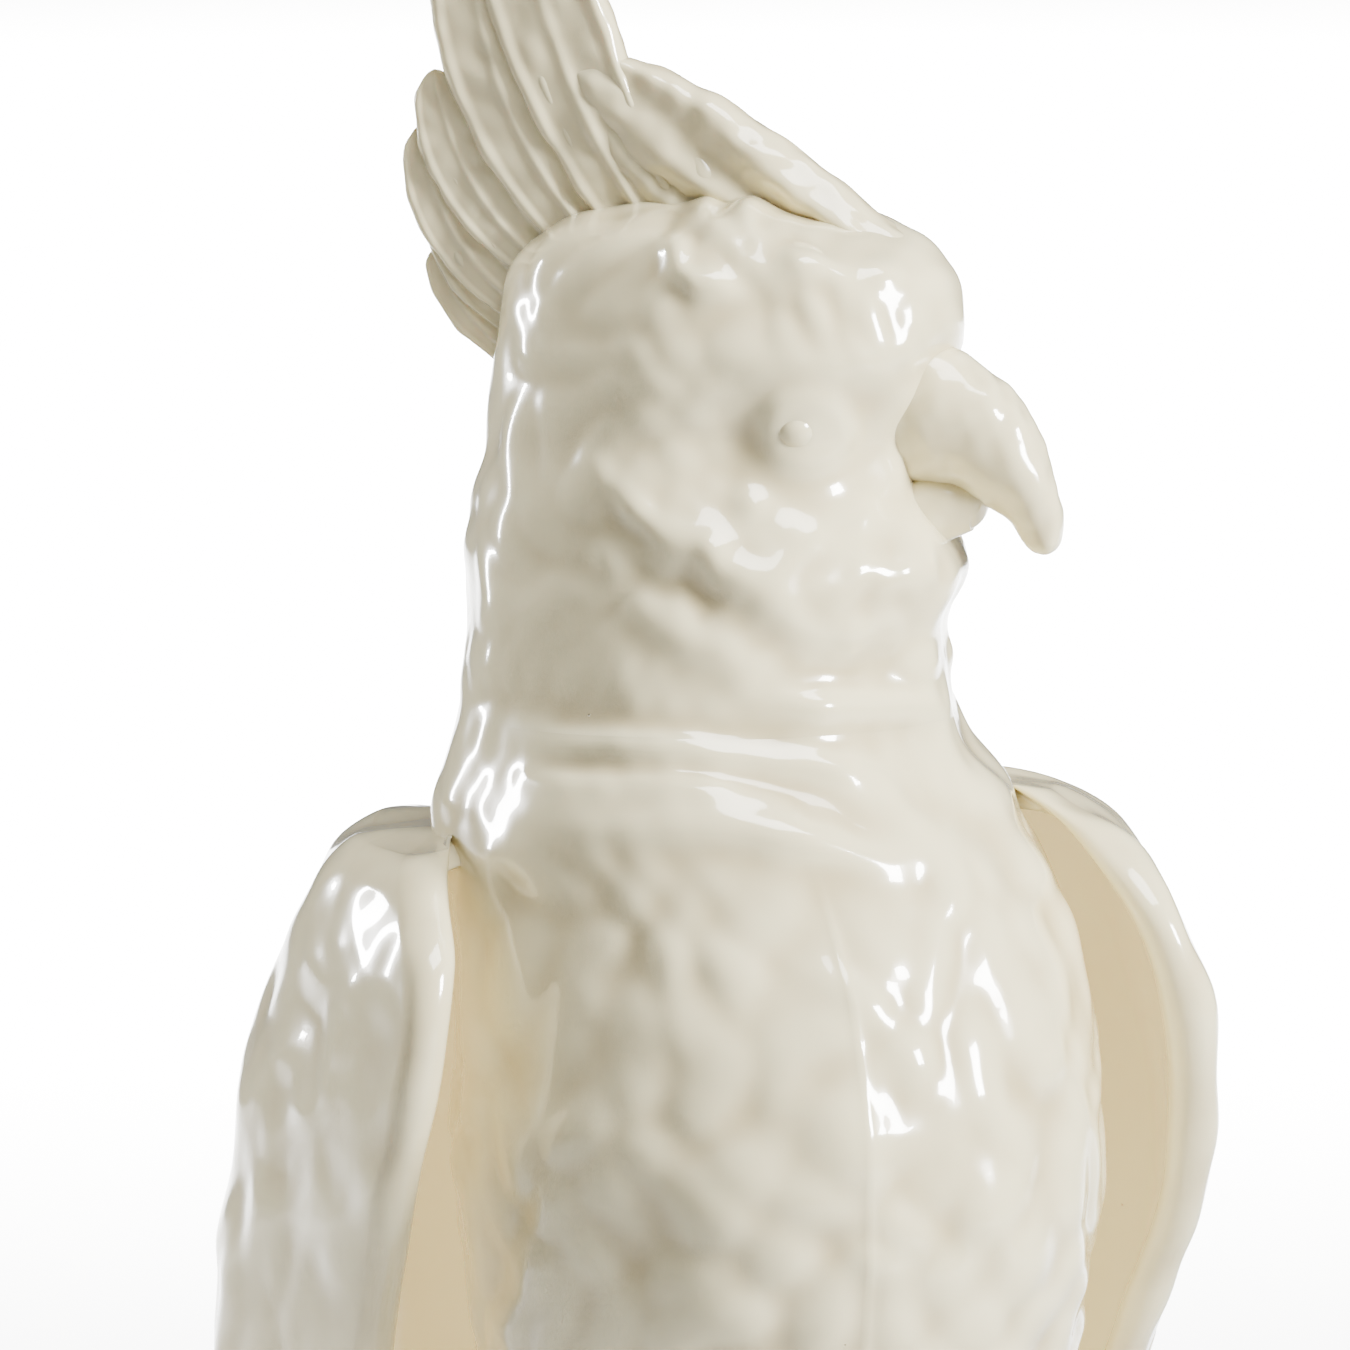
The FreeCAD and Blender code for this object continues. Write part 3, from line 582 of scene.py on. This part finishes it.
def spineGrid(rows, count, columns, profile, origin, heading, tipRows=10):
    # rows hold the share along a curve in an upright plane, forward and up in millimetres, and the
    # half depth in the plane and half width square to it. profile turns the share and the angle
    # round each ring into shares of those two, and the ring draws in over the last rows.
    share = np.linspace(0, 1, count)
    forward, up, deep, wide = (column[:, None] for column in smoothCurve(rows, share))
    runForward, runUp = np.gradient(forward[:, 0])[:, None], np.gradient(up[:, 0])[:, None]
    run = np.hypot(runForward, runUp)
    angle = np.linspace(0, 2 * math.pi, columns, endpoint=False)[None, :]
    outward, sideways = profile(share[:, None], angle)
    left = np.clip((1 - share[:, None]) * (count - 1) / tipRows, 0, 1)
    tip = np.sqrt(1 - (1 - left) ** 2) * 0.98 + 0.02
    outward = outward * deep * tip
    sideways = -sideways * wide * tip
    level = np.array([heading[1], -heading[0], 0.0])
    forward = forward + outward * runUp / run
    up = up - outward * runForward / run
    place = forward[..., None] * heading + up[..., None] * np.array([0, 0, 1.0]) + sideways[..., None] * level
    return origin + place * mm, share[:, None], angle


def oval(share, angle):
    return np.cos(angle) + 0 * share, np.sin(angle) + 0 * share


def feather(share, angle):
    # A flat blade: full to its edges, with raised rims, a midrib and shallow hollows between.
    across = np.cos(angle)
    side = np.sign(np.sin(angle)) * (1 - across ** 8) ** 0.5
    rim = smoothStep(np.abs(across), 0.62, 0.9)
    midrib = np.exp(-((across + 0.05 * np.sin(5 * share)) / 0.11) ** 2)
    return across + 0 * share, side * (0.70 + 0.24 * rim + 0.16 * midrib * (1 - 0.6 * share))


def flatFeather(share, angle):
    # The same blade a quarter turn round, with its width square to the plane of its curve.
    across, side = feather(share, angle)
    return -side, across


def strands(share, angle):
    # A lock of narrow feathers lying side by side, which part towards the tip.
    across = np.cos(angle)
    side = np.sign(np.sin(angle)) * (1 - across ** 6) ** 0.5
    wave = np.cos(2 * math.pi * (1.3 * across + 0.4 * np.sin(3.4 * share + 1.2 * across)))
    return across + 0 * share, side * (0.87 + 0.13 * wave)


beakValues = {
    # share along, forward and up from the neck joint, half depth, half width
    "upper": [
        (0.00, 24.0, 46.6, 11.4, 9.8),
        (0.20, 33.2, 45.6, 11.0, 9.3),
        (0.42, 41.0, 42.1, 9.0, 7.7),
        (0.62, 46.4, 36.9, 6.7, 6.1),
        (0.80, 50.0, 31.6, 4.3, 4.2),
        (0.93, 51.5, 27.2, 3.2, 3.1),
        (1.00, 51.5, 24.0, 2.4, 2.4),
    ],
    "lower": [
        (0.00, 26.0, 28.6, 5.8, 6.6),
        (0.35, 33.0, 30.4, 5.6, 6.2),
        (0.65, 38.0, 31.4, 4.6, 5.0),
        (0.88, 41.2, 31.4, 3.4, 3.6),
        (1.00, 42.8, 30.9, 2.3, 2.4),
    ],
}


def horn(share, angle):
    # Egg-shaped rings: narrow along the ridge, full along the cutting edge.
    return np.cos(angle) + 0 * share, np.sin(angle) * (1 - 0.2 * np.cos(angle)) + 0 * share


def raised(points, relief):
    return points + gridNormals(points) * relief[..., None] * mm


def makeBeak(name, node, rows):
    points = spineGrid(rows, 130, 110, horn, neckCentre, faceDirection, 7)[0]
    relief = 0.22 * waves(points, 9 * mm, 31) + 0.1 * waves(points, 4 * mm, 32)
    makePiece(name, node, [raised(points, relief)], {"relief": [pooling(relief, 10)]})


makeBeak("upperBeak", "upper_beak", beakValues["upper"])
makeBeak("lowerBeak", "lower_beak", beakValues["lower"])


crestValues = {
    "thickness": 13.0,
    "thinning": 0.84,  # each feather's thickness as a share of the one in front
    # root forward, root up, lean at the root and at the tip from upright, length, half width
    "feathers": [
        (34.5, 62.0, 60.0, 57.0, 66.0, 9.2),
        (17.0, 65.0, 62.0, 48.0, 44.0, 7.6),
        (-4.0, 67.0, 38.0, 10.0, 74.0, 9.0),
        (-13.0, 67.0, 50.0, 0.0, 64.0, 8.0),
        (-22.0, 65.0, 60.0, 12.0, 38.0, 5.6),
        (-26.0, 59.0, 62.0, 10.0, 35.0, 4.8),
        (-26.0, 56.0, 64.0, 18.0, 27.0, 3.8),
        (-27.0, 52.0, 68.0, 24.0, 23.0, 3.4),
    ],
    "leaf": [(0.00, 0.62), (0.35, 0.92), (0.62, 1.00), (0.84, 0.80), (0.95, 0.52), (1.00, 0.30)],
}


def makeCrestFeather(number, root):
    # The lean changes evenly along the blade, so its line is an easy curve.
    v = crestValues
    forward, up, leanStart, leanEnd, length, halfWidth = root
    t = np.linspace(0, 1, 12)
    lean = np.radians(leanStart + (leanEnd - leanStart) * (t[:-1] + t[1]))
    forward = forward - np.append(0, np.cumsum(np.sin(lean))) * length / 11
    up = up + np.append(0, np.cumsum(np.cos(lean))) * length / 11
    thick = v["thickness"] / 2 * v["thinning"] ** number * (1 - 0.55 * t ** 2)
    rows = np.stack([t, forward, up, halfWidth * smoothCurve(v["leaf"], t)[0], thick], -1)
    shape = strands if number < 2 else feather
    points, share, angle = spineGrid(rows, 130, 112, shape, neckCentre, faceDirection, 9)
    soft = 0.18 if number < 2 else 0.14
    relief = soft * waves(points, 9 * mm, 40 + number) + 0.1 * waves(points, 4 * mm, 50 + number)
    if number < 2:
        tufts = featherScales(angle * 12 / (2 * math.pi), share * length / 13 + 3, 12, 60 + number)
        relief = relief + 0.5 * soften(tufts - 0.5, 8)
    shaped = raised(points, relief)
    bed = pooling(np.abs(headPlace(shaped)[2]) + 0 * relief, 8) * 0.5
    makePiece("crestFeather%d" % (number + 1), "crest_feather_%d" % (number + 1), [shaped], {"relief": [bed]})


for number, root in enumerate(crestValues["feathers"]):
    makeCrestFeather(number, root)
print("crest made")


tailValues = {
    "blades": 5,
    "spacing": 5.3,
    "halfWidth": 5.7,
    "halfThickness": 2.6,
    "stagger": 6.5,  # how much shorter each blade is than its inner neighbour
    "lap": 0.7,  # how far each blade stands in front of its outer neighbour
    "rootBack": 34.2,
    "sweep": 27.5,
    "rootUp": 146,
    "outline": [(0, 0.8), (0.5, 1.0), (0.85, 0.95), (1, 0.55)],
}


def makeTail():
    # Long blades side by side, the middle one longest and in front, each running down behind the stump.
    v = tailValues
    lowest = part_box("tail")[0].z / mm
    grids, beds = [], []
    for number in range(v["blades"]):
        place = number - (v["blades"] - 1) / 2
        end = lowest + v["stagger"] * abs(place)
        t = np.linspace(0, 1, 9)
        back = v["rootBack"] + v["sweep"] * np.sin(math.pi / 2 * t) - v["lap"] * abs(place)
        up = v["rootUp"] + (end - v["rootUp"]) * t
        wide = v["halfWidth"] * smoothCurve(v["outline"], t)[0]
        rows = np.stack([t, back, up, v["halfThickness"] * (1 - 0.45 * t), wide], -1)
        origin = np.array([place * v["spacing"] * mm, 0, 0])
        points = spineGrid(rows, 150, 72, flatFeather, origin, np.array([0, 1.0, 0]), 8)[0]
        relief = 0.3 * waves(points, 11 * mm, 70 + number) + 0.1 * waves(points, 5 * mm, 80)
        grids.append(raised(points, relief))
        beds.append(pooling(relief, 9))
    makePiece("tailFeathers", "tail", grids, {"relief": beds})


makeTail()


# ---- wings, each one closed shell that stands off the body like a cloak

wingValues = {
    "rows": 210,
    "outerColumns": 120,
    "innerColumns": 70,
    "capColumns": 14,
    "rimGap": 15.0,
    "sideGap": 24.5,
    "backGap": 25.0,
    "bulge": 3.0,
    "bite": 3.0,
    "split": 1.0,
    "wall": 6.0,
    "thinning": 0.3,
    "rimRadius": 4.8,
    "rimReach": 11.0,
    "roofHeight": 7.0,
    "roofRound": 5.0,
    "roofDome": 1.2,
    "tipRound": 26.0,
    "knots": (0.0, 0.21, 0.42, 0.68, 1.0),
    # share down the wing; how open the rim, side and back stand; the back point's place across; how
    # far the rim and the fullest side stand behind the torso's middle
    "outline": [
        (0.00, 0.34, 0.42, 0.15, 0.90, -5.0, 12.0),
        (0.04, 0.53, 0.58, 0.34, 0.96, -11.0, 16.0),
        (0.10, 0.64, 0.68, 0.50, 0.96, -19.0, 27.0),
        (0.18, 0.76, 0.79, 0.64, 0.95, -17.0, 39.0),
        (0.33, 0.94, 0.98, 0.82, 0.96, -5.0, 44.0),
        (0.47, 1.00, 1.08, 0.94, 0.96, 11.0, 50.0),
        (0.63, 0.95, 0.93, 1.00, 0.92, 24.0, 54.0),
        (0.80, 0.60, 0.55, 1.00, 0.80, 35.0, 55.0),
        (0.93, 0.10, 0.06, 1.02, 0.62, 42.0, 53.0),
        (1.00, -0.20, -0.18, 1.04, 0.50, 45.0, 54.0),
    ],
    "setBack": 0.9,  # how far the lumps start inside the plain surface
    "covertHeight": 2.3,
    "flightHeight": 2.6,
}


def wingLines(heights, top, bottom, columns):
    # The middle line of each level section: a curve through the rim, side, back and root points.
    v = wingValues
    share = (top - heights) / (top - bottom)
    torso = smoothCurve(bodyValues["torso"], np.maximum(heights - standZ / mm, 0))
    _, centreY, halfX, halfY = torso
    rimOpen, sideOpen, backOpen, backReach, rimBack, sideBack = smoothCurve(v["outline"], share)
    back = centreY + halfY
    rim = np.stack([halfX + rimOpen * v["rimGap"], centreY + rimBack])
    side = np.stack([halfX + sideOpen * v["sideGap"], centreY + sideBack])
    middle = (rim + side) / 2 + np.array([[v["bulge"]], [0.0]])
    rear = np.stack([halfX * backReach, back + backOpen * v["backGap"]])
    rootX = (v["split"] + v["wall"]) / 2 + 0.42 * halfX * (1 - smoothStep(share, 0, 0.45))
    rootY = back - v["bite"] + (v["backGap"] + v["bite"]) * smoothStep(share, 0.45, 0.95)
    corners = (rim, middle, side, rear, np.stack([rootX, rootY]))
    table = [[knot, *corner.reshape(-1)] for knot, corner in zip(v["knots"], corners)]
    line = smoothCurve(table, columns).reshape(2, len(heights), len(columns))
    along = np.gradient(line, axis=2)
    length = np.hypot(*along).sum(1)[:, None]
    along = along / np.hypot(*along)
    return line, along, length, share[:, None], torso


def wingGrid(side, top, bottom):
    v = wingValues
    turn = np.linspace(0, math.pi, v["rows"])
    heights = bottom + (top - v["roofDome"] - bottom) * (1 - np.cos(turn)) / 2
    fine = np.linspace(0, 1, 241)
    line, along, length, share, torso = wingLines(heights, top, bottom, fine)
    outer = np.linspace(0, 240, v["outerColumns"]).round().astype(int)
    inner = np.linspace(240, 0, v["innerColumns"]).round().astype(int)
    outward = np.stack([along[1], -along[0]])
    half = v["wall"] / 2 * (1 - v["thinning"] * share)
    rolled = (v["rimRadius"] - v["wall"] / 2) * (1 - 0.45 * share)
    half = half + rolled * np.exp(-((fine * length / v["rimReach"]) ** 2))
    cap = np.linspace(0, math.pi, v["capColumns"] + 2)[1:-1]
    outerPart = (line + outward * half)[:, :, outer]
    rootTurn = outward[:, :, -1:] * np.cos(cap) + along[:, :, -1:] * np.sin(cap)
    rootPart = line[:, :, -1:] + half[:, -1:] * rootTurn
    innerPart = (line - outward * half)[:, :, inner]
    rimTurn = outward[:, :, :1] * np.cos(cap) + along[:, :, :1] * np.sin(cap)
    rimPart = line[:, :, :1] - half[:, :1] * rimTurn
    # Over the roof's height the inner side draws back into the body and closes the shoulder.
    rise = np.clip(1 - (top - v["roofDome"] - heights) / v["roofHeight"], 0, 1)[:, None]
    s = np.linspace(0, 1, v["innerColumns"])
    heart = np.stack([0 * torso[1], torso[1]])[:, :, None]
    bow = innerPart[:, :, :1] * (1 - s) ** 2 + heart * 2 * s * (1 - s) + innerPart[:, :, -1:] * s ** 2
    innerPart = innerPart + (bow - innerPart) * smoothStep(rise, 0, 0.75)
    ring = np.concatenate([outerPart, rootPart, innerPart, rimPart], 2)
    middle = ring.mean(2, keepdims=True)
    reach = middle - ring
    ring = ring + reach / np.hypot(*reach) * v["roofRound"] * (1 - np.sqrt(1 - rise ** 2))
    tip = np.clip((heights[:, None] - bottom) / v["tipRound"], 0, 1)
    ring = middle - (middle - ring) * (np.sqrt(1 - (1 - tip) ** 2) * 0.97 + 0.03)
    # The last rows close the roof in a low dome.
    scale = np.linspace(1, 0.03, 16)[1:]
    dome = middle[:, -1:] - (middle[:, -1:] - ring[:, -1:]) * scale[:, None]
    ring = np.concatenate([ring, dome], 1)
    heights = np.append(heights, heights[-1] + v["roofDome"] * (1 - scale ** 2))
    shift = (torso[0] * (1 - share[:, 0]))[:, None]
    shift = np.concatenate([shift, np.repeat(shift[-1:], 15, 0)])
    points = np.stack([shift + side * ring[0], ring[1], 0 * ring[0] + heights[:, None]], -1) * mm
    # Distance in from the rim, and 1 on the outer side and 0 on the inner one.
    length = np.concatenate([length, np.repeat(length[-1:], 15, 0)])
    spread = np.concatenate([fine[outer], 0 * cap + 1, fine[inner], 0 * cap])
    faceOut = np.concatenate([0 * outer + 1.0, np.cos(cap) / 2 + 0.5, 0.0 * inner, 0.5 - np.cos(cap) / 2])
    across = length * spread[None, :]
    faceOut = faceOut[None, :] + 0 * across
    down = top - heights[:, None] + 0 * across
    if side < 0:
        points, across, faceOut, down = (array[:, ::-1] for array in (points, across, faceOut, down))
    return points, across, faceOut, down


def makeWing(name, node, side, seed):
    v = wingValues
    low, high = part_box(node)
    points, across, faceOut, down = wingGrid(side, high.z / mm, low.z / mm)
    drift = waves(points, 30 * mm, seed)
    sway = waves(points, 22 * mm, seed + 1)
    coverts = featherScales(across / 11 + 0.3 * drift, down / 10 + 0.4 * sway + 3, 64, seed + 2)
    flightAcross = across / 9.5 + 0.006 * down + 0.2 * drift
    flight = featherScales(flightAcross, down / 38 + 0.25 * sway + 2, 64, seed + 3, 0.6)
    lower = smoothStep(down + 6 * sway, 78, 104)
    relief = v["covertHeight"] * (coverts - 0.5) * (1 - lower) + v["flightHeight"] * (flight - 0.5) * lower
    relief = relief * smoothStep(across, 8, 18) * smoothStep(down, 8, 26) * faceOut
    lumps = 0.5 * waves(points, 17 * mm, seed + 4) + 0.12 * waves(points, 9 * mm, seed + 5)
    relief = soften(relief + (lumps - v["setBack"]) * (0.25 + 0.75 * faceOut), 3)
    # Painted bounce light: the wing's inner side, away from the rim, is marked for the paler warm tint that
    # stands in for light reflected inside the wing.
    paintedGapLight = 0.95 * (1 - faceOut) * smoothStep(across, 3, 20)
    makePiece(name, node, [raised(points, relief)], {"relief": [pooling(relief, 12)], "shade": [paintedGapLight]})


makeWing("rightWing", "right_wing", -1, 100)
makeWing("leftWing", "left_wing", 1, 120)


# ---- legs and feet

legValues = {"spacing": 34.0, "back": 32.4, "kneeBack": 24.6, "kneeRise": 41.3, "shank": 5.2, "thigh": 12.5}


def makeLeg(name, node, side):
    v = legValues
    stand = standZ / mm
    middleBack = (v["back"] + v["kneeBack"]) / 2
    rows = [
        (0.00, -v["back"], stand, v["shank"], v["shank"]),
        (0.22, -v["back"], stand + 1.6 * v["shank"], v["shank"], v["shank"]),
        (0.60, -middleBack, stand + v["kneeRise"] / 2, 0.95 * v["thigh"], 0.95 * v["thigh"]),
        (1.00, -v["kneeBack"], stand + v["kneeRise"], 0.72 * v["thigh"], 0.72 * v["thigh"]),
    ]
    origin = np.array([side * v["spacing"] / 2 * mm, 0, 0])
    points, share, angle = spineGrid(rows, 120, 96, oval, origin, np.array([0, 1.0, 0]), 20)
    scales = featherScales(angle * 11 / (2 * math.pi), 12 - share * 8.0, 11, 140 + side)
    relief = 0.8 * soften(scales - 0.6, 2) * smoothStep(share, 0.1, 0.3)
    makePiece(name, node, [raised(points, relief)], {"relief": [pooling(relief, 10)]})


makeLeg("rightLeg", "right_leg", -1)
makeLeg("leftLeg", "left_leg", 1)


footValues = {"toe": 3.6, "drop": 12.0, "frontSpread": 0.13, "backSpread": 1.15, "scutes": 9, "edge": 45.0}


def scuted(share, angle):
    # Round toes with low plates across the upper side.
    plates = np.abs(np.sin(math.pi * footValues["scutes"] * share)) ** 0.6 * np.clip(np.cos(angle), 0, 1)
    return np.cos(angle) * (1 + 0.09 * (plates - 0.5)), np.sin(angle) * (1 + 0.04 * plates)


def clawed(share, angle):
    # A toe whose last third is a smooth claw, narrower than the toe.
    outward, sideways = scuted(share, angle)
    claw = smoothStep(share, 0.72, 0.78)
    narrow = 1 - 0.22 * claw
    outward = outward * (1 - claw) + np.cos(angle) * claw
    sideways = sideways * (1 - claw) + np.sin(angle) * claw
    return outward * narrow, sideways * narrow


def makeFoot(name, node, side):
    v = footValues
    r = v["toe"]
    ankle = np.array([side * legValues["spacing"] / 2, -legValues["back"], standZ / mm])
    grids = [ballGrid(ankle * mm + np.array([0, 0, 0.45 * r * mm]), 1.35 * r * mm, 0.8)]
    aim = math.atan2(ankle[0], legValues["back"])
    for spread in (-v["frontSpread"], v["frontSpread"]):
        end = v["edge"] * np.array([math.sin(aim + spread), -math.cos(aim + spread), 0])
        run = end - ankle * np.array([1, 1, 0])
        far = np.linalg.norm(run)
        rows = [
            (0.00, -1.5, 0.7 * r, r, r),
            (0.30, far - 1.6 * r, 0.85 * r, r, r),
            (0.55, far + 0.1 * r, -0.1 * r, 0.95 * r, 0.95 * r),
            (0.80, far + 0.50 * r, -0.55 * v["drop"], 0.78 * r, 0.78 * r),
            (1.00, far + 0.10 * r, -v["drop"] + 0.2 * r, 0.34 * r, 0.34 * r),
        ]
        grids.append(spineGrid(rows, 120, 48, clawed, ankle * mm, run / far, 8)[0])
    for spread in (v["backSpread"], -v["backSpread"]):
        heading = np.array([math.sin(math.pi + spread), -math.cos(math.pi + spread), 0])
        rows = [
            (0.0, -1.5, 0.6 * r, 0.9 * r, 0.9 * r),
            (0.5, 5.0, 0.6 * r, 0.8 * r, 0.8 * r),
            (1.0, 10.5, 0.35 * r, 0.35 * r, 0.3 * r),
        ]
        grids.append(spineGrid(rows, 70, 48, clawed, ankle * mm, heading, 8)[0])
    makePiece(name, node, grids)


makeFoot("rightFoot", "right_foot", -1)
makeFoot("leftFoot", "left_foot", 1)


# ---- stump

stumpValues = {
    "columns": 400,
    "wallRows": 150,
    "edge": 4.0,
    "profile": [(0.0, 57.6), (22.0, 47.8), (66.0, 40.8), (108.0, 44.8)],  # height and radius
    "furrow": 1.9,
    "crack": 0.8,
    "rootHollow": 6.5,
    "roots": 6,
    "knots": [(-95, 52, 8.0), (28, 74, 6.5), (165, 40, 7.5), (-30, 34, 6.0)],  # degrees round, height, radius
}


def makeStump():
    v = stumpValues
    top = standZ / mm
    wall = np.linspace(0.4, top - v["edge"], v["wallRows"])
    radius = smoothCurve(v["profile"], wall)[0]
    corner = np.linspace(0, math.pi / 2, 9)[1:]
    edge = smoothCurve(v["profile"], top - v["edge"])[0]
    inward = np.linspace(1, 0.01, 44)[1:] * (edge - v["edge"])
    shoulder = top - v["edge"] * (1 - np.sin(corner))
    heights = np.concatenate([[4.0, 1.0, 0.05], wall, shoulder, 0 * inward + top])
    radii = np.concatenate([[51.0, 54.0, 56.4], radius, edge - v["edge"] * (1 - np.cos(corner)), inward])
    angle = np.linspace(0, 2 * math.pi, v["columns"], endpoint=False)[None, :]
    radii, heights = radii[:, None], heights[:, None]
    ring = np.stack([radii * np.cos(angle), radii * np.sin(angle), heights + 0 * angle], -1) * mm
    # Bark: long furrows, finer cracks across them, knots and hollows between the roots.
    stretched = ring * np.array([1, 1, 0.2])
    long = waves(stretched, 17 * mm, 150)
    thin = waves(stretched, 8 * mm, 151)
    across = waves(ring * np.array([0.45, 0.45, 1]), 13 * mm, 152)
    relief = -v["furrow"] * np.exp(-((long / 0.24) ** 2)) - v["crack"] * np.exp(-((thin / 0.26) ** 2))
    relief = relief - v["crack"] * np.exp(-((across / 0.12) ** 2))
    lobes = 0.5 + 0.5 * np.cos(v["roots"] * angle + 0.9 * np.sin(2 * angle + 0.4))
    relief = relief - v["rootHollow"] * (1 - lobes) * np.clip(1 - heights / 50, 0, 1) ** 1.5
    for degrees, height, size in v["knots"]:
        aside = ((np.degrees(angle) - degrees + 180) % 360 - 180) * math.pi / 180 * 44
        gap = np.hypot(aside, (heights - height) * 0.8)
        fade = np.exp(-((gap / size) ** 2))
        relief = relief * (1 - 0.8 * fade) + (0.7 * np.cos(gap * 2.1) - 1.2) * fade
    onWall = smoothStep(heights, 0.2, 3) * (1 - smoothStep(heights, top - 3.5, top - 0.5))
    rings = 0.28 * np.cos(radii * 1.35 + 1.1 * waves(ring, 34 * mm, 153)) - 0.3
    onTop = (heights > top - 0.01) * smoothStep(radii, 2, 6) * (1 - smoothStep(radii, edge - 7, edge - 4))
    relief = soften(relief * onWall + rings * onTop, 2)
    makePiece("treeStump", "stump", [raised(ring, relief)], {"relief": [pooling(relief, 10)]})


makeStump()
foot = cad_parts["foot_slab"]
foot.data.materials.clear()
foot.data.materials.append(biscuit)
print("stump made")


# ---- camera, light and floor

cameraValues = {
    "azimuth": -16.0,
    "elevation": 7.0,
    "lens": 400.0,
    "sensor": 36.0,
    "frameWidth": 202.5,  # millimetres across the view
    "aimSide": -13.5,  # the view's middle, right of the origin as the camera sees it
    "aimUp": 290.0,
}


def cameraAxes():
    a, e = math.radians(cameraValues["azimuth"]), math.radians(cameraValues["elevation"])
    towards = Vector((math.sin(a) * math.cos(e), -math.cos(a) * math.cos(e), math.sin(e)))
    right = Vector((math.cos(a), math.sin(a), 0))
    return towards, right


def makeCamera():
    v = cameraValues
    towards, right = cameraAxes()
    camera = bpy.data.objects.new("camera", bpy.data.cameras.new("camera"))
    camera.data.lens = v["lens"]
    camera.data.sensor_width = v["sensor"]
    distance = v["frameWidth"] * mm * v["lens"] / v["sensor"]
    aim = right * v["aimSide"] * mm + Vector((0, 0, v["aimUp"] * mm))
    camera.location = aim + towards * distance
    camera.rotation_euler = (-towards).to_track_quat("-Z", "Y").to_euler()
    camera.data.clip_end = 20
    bpy.context.scene.collection.objects.link(camera)
    bpy.context.scene.camera = camera


lightValues = {
    # name: degrees to the right of the camera, degrees up, distance, width, height, brightness
    "frontRight": (66, 20, 1.3, 0.30, 0.36, 150),
    "leftStrip": (-118, 14, 1.1, 0.07, 0.50, 130),
    "overhead": (50, 68, 1.1, 0.60, 0.50, 19),
}


def makeLights():
    # An area light's power is its brightness times its area times pi.
    aim = Vector((0, 0, 0.8 * crownZ))
    for name, (turn, rise, distance, width, height, brightness) in lightValues.items():
        a = math.radians(cameraValues["azimuth"] + turn)
        e = math.radians(rise)
        direction = Vector((math.sin(a) * math.cos(e), -math.cos(a) * math.cos(e), math.sin(e)))
        addLamp(name, aim + direction * distance, direction, width, height, brightness)
    # A wide panel high over the floor behind the object whitens the paper there.
    a = math.radians(cameraValues["azimuth"])
    behind = Vector((-math.sin(a), math.cos(a), 0))
    v = paperLightValues
    place = behind * v["distance"] + Vector((0, 0, v["height"]))
    panel = addLamp("paperPanel", place, Vector((0, 0, 1)), v["width"], v["length"], v["brightness"])
    panel.rotation_euler = (0, 0, a)
    panel.data.spread = math.radians(v["spread"])


def addLamp(name, place, direction, width, height, brightness):
    data = bpy.data.lights.new(name, "AREA")
    data.shape = "RECTANGLE"
    data.size = width
    data.size_y = height
    data.energy = brightness * math.pi * width * height
    lamp = bpy.data.objects.new(name, data)
    lamp.location = place
    lamp.rotation_euler = direction.to_track_quat("Z", "Y").to_euler()
    bpy.context.scene.collection.objects.link(lamp)
    return lamp


paperLightValues = {
    "distance": 3.2,
    "height": 1.6,
    "length": 4.0,
    "width": 2.0,
    "brightness": 52.0,
    "spread": 75,  # degrees; narrow enough to miss the object
}
worldValues = {"colour": (1.0, 0.99, 0.97, 1), "strength": 0.2}


def makeWorld():
    world = bpy.data.worlds.new("studio")
    world.use_nodes = True
    background = world.node_tree.nodes["Background"]
    background.inputs[0].default_value = worldValues["colour"]
    background.inputs[1].default_value = worldValues["strength"]
    bpy.context.scene.world = world


def makeFloor():
    # A plain pale sheet. It glows a little, so that it stays pale where no lamp reaches it.
    mesh = bpy.data.meshes.new("floor")
    far = 60.0
    corners = [(-far, -far, 0), (far, -far, 0), (far, far, 0), (-far, far, 0)]
    mesh.from_pydata(corners, [], [(0, 1, 2, 3)])
    floor = bpy.data.objects.new("floor", mesh)
    bpy.context.scene.collection.objects.link(floor)
    material, tree, _ = newMaterial("floorPaper")
    shader = addNode(tree, "ShaderNodeBsdfPrincipled", None, {
        "Base Color": (0.42, 0.42, 0.415, 1),
        "Roughness": 0.9,
        "Specular IOR Level": 0.1,
        "Emission Color": (1, 1, 1, 1),
        "Emission Strength": 0.18,
    })
    addNode(tree, "ShaderNodeOutputMaterial", None, {0: shader})
    mesh.materials.append(material)


makeCamera()
makeLights()
makeWorld()
makeFloor()
print("studio made")
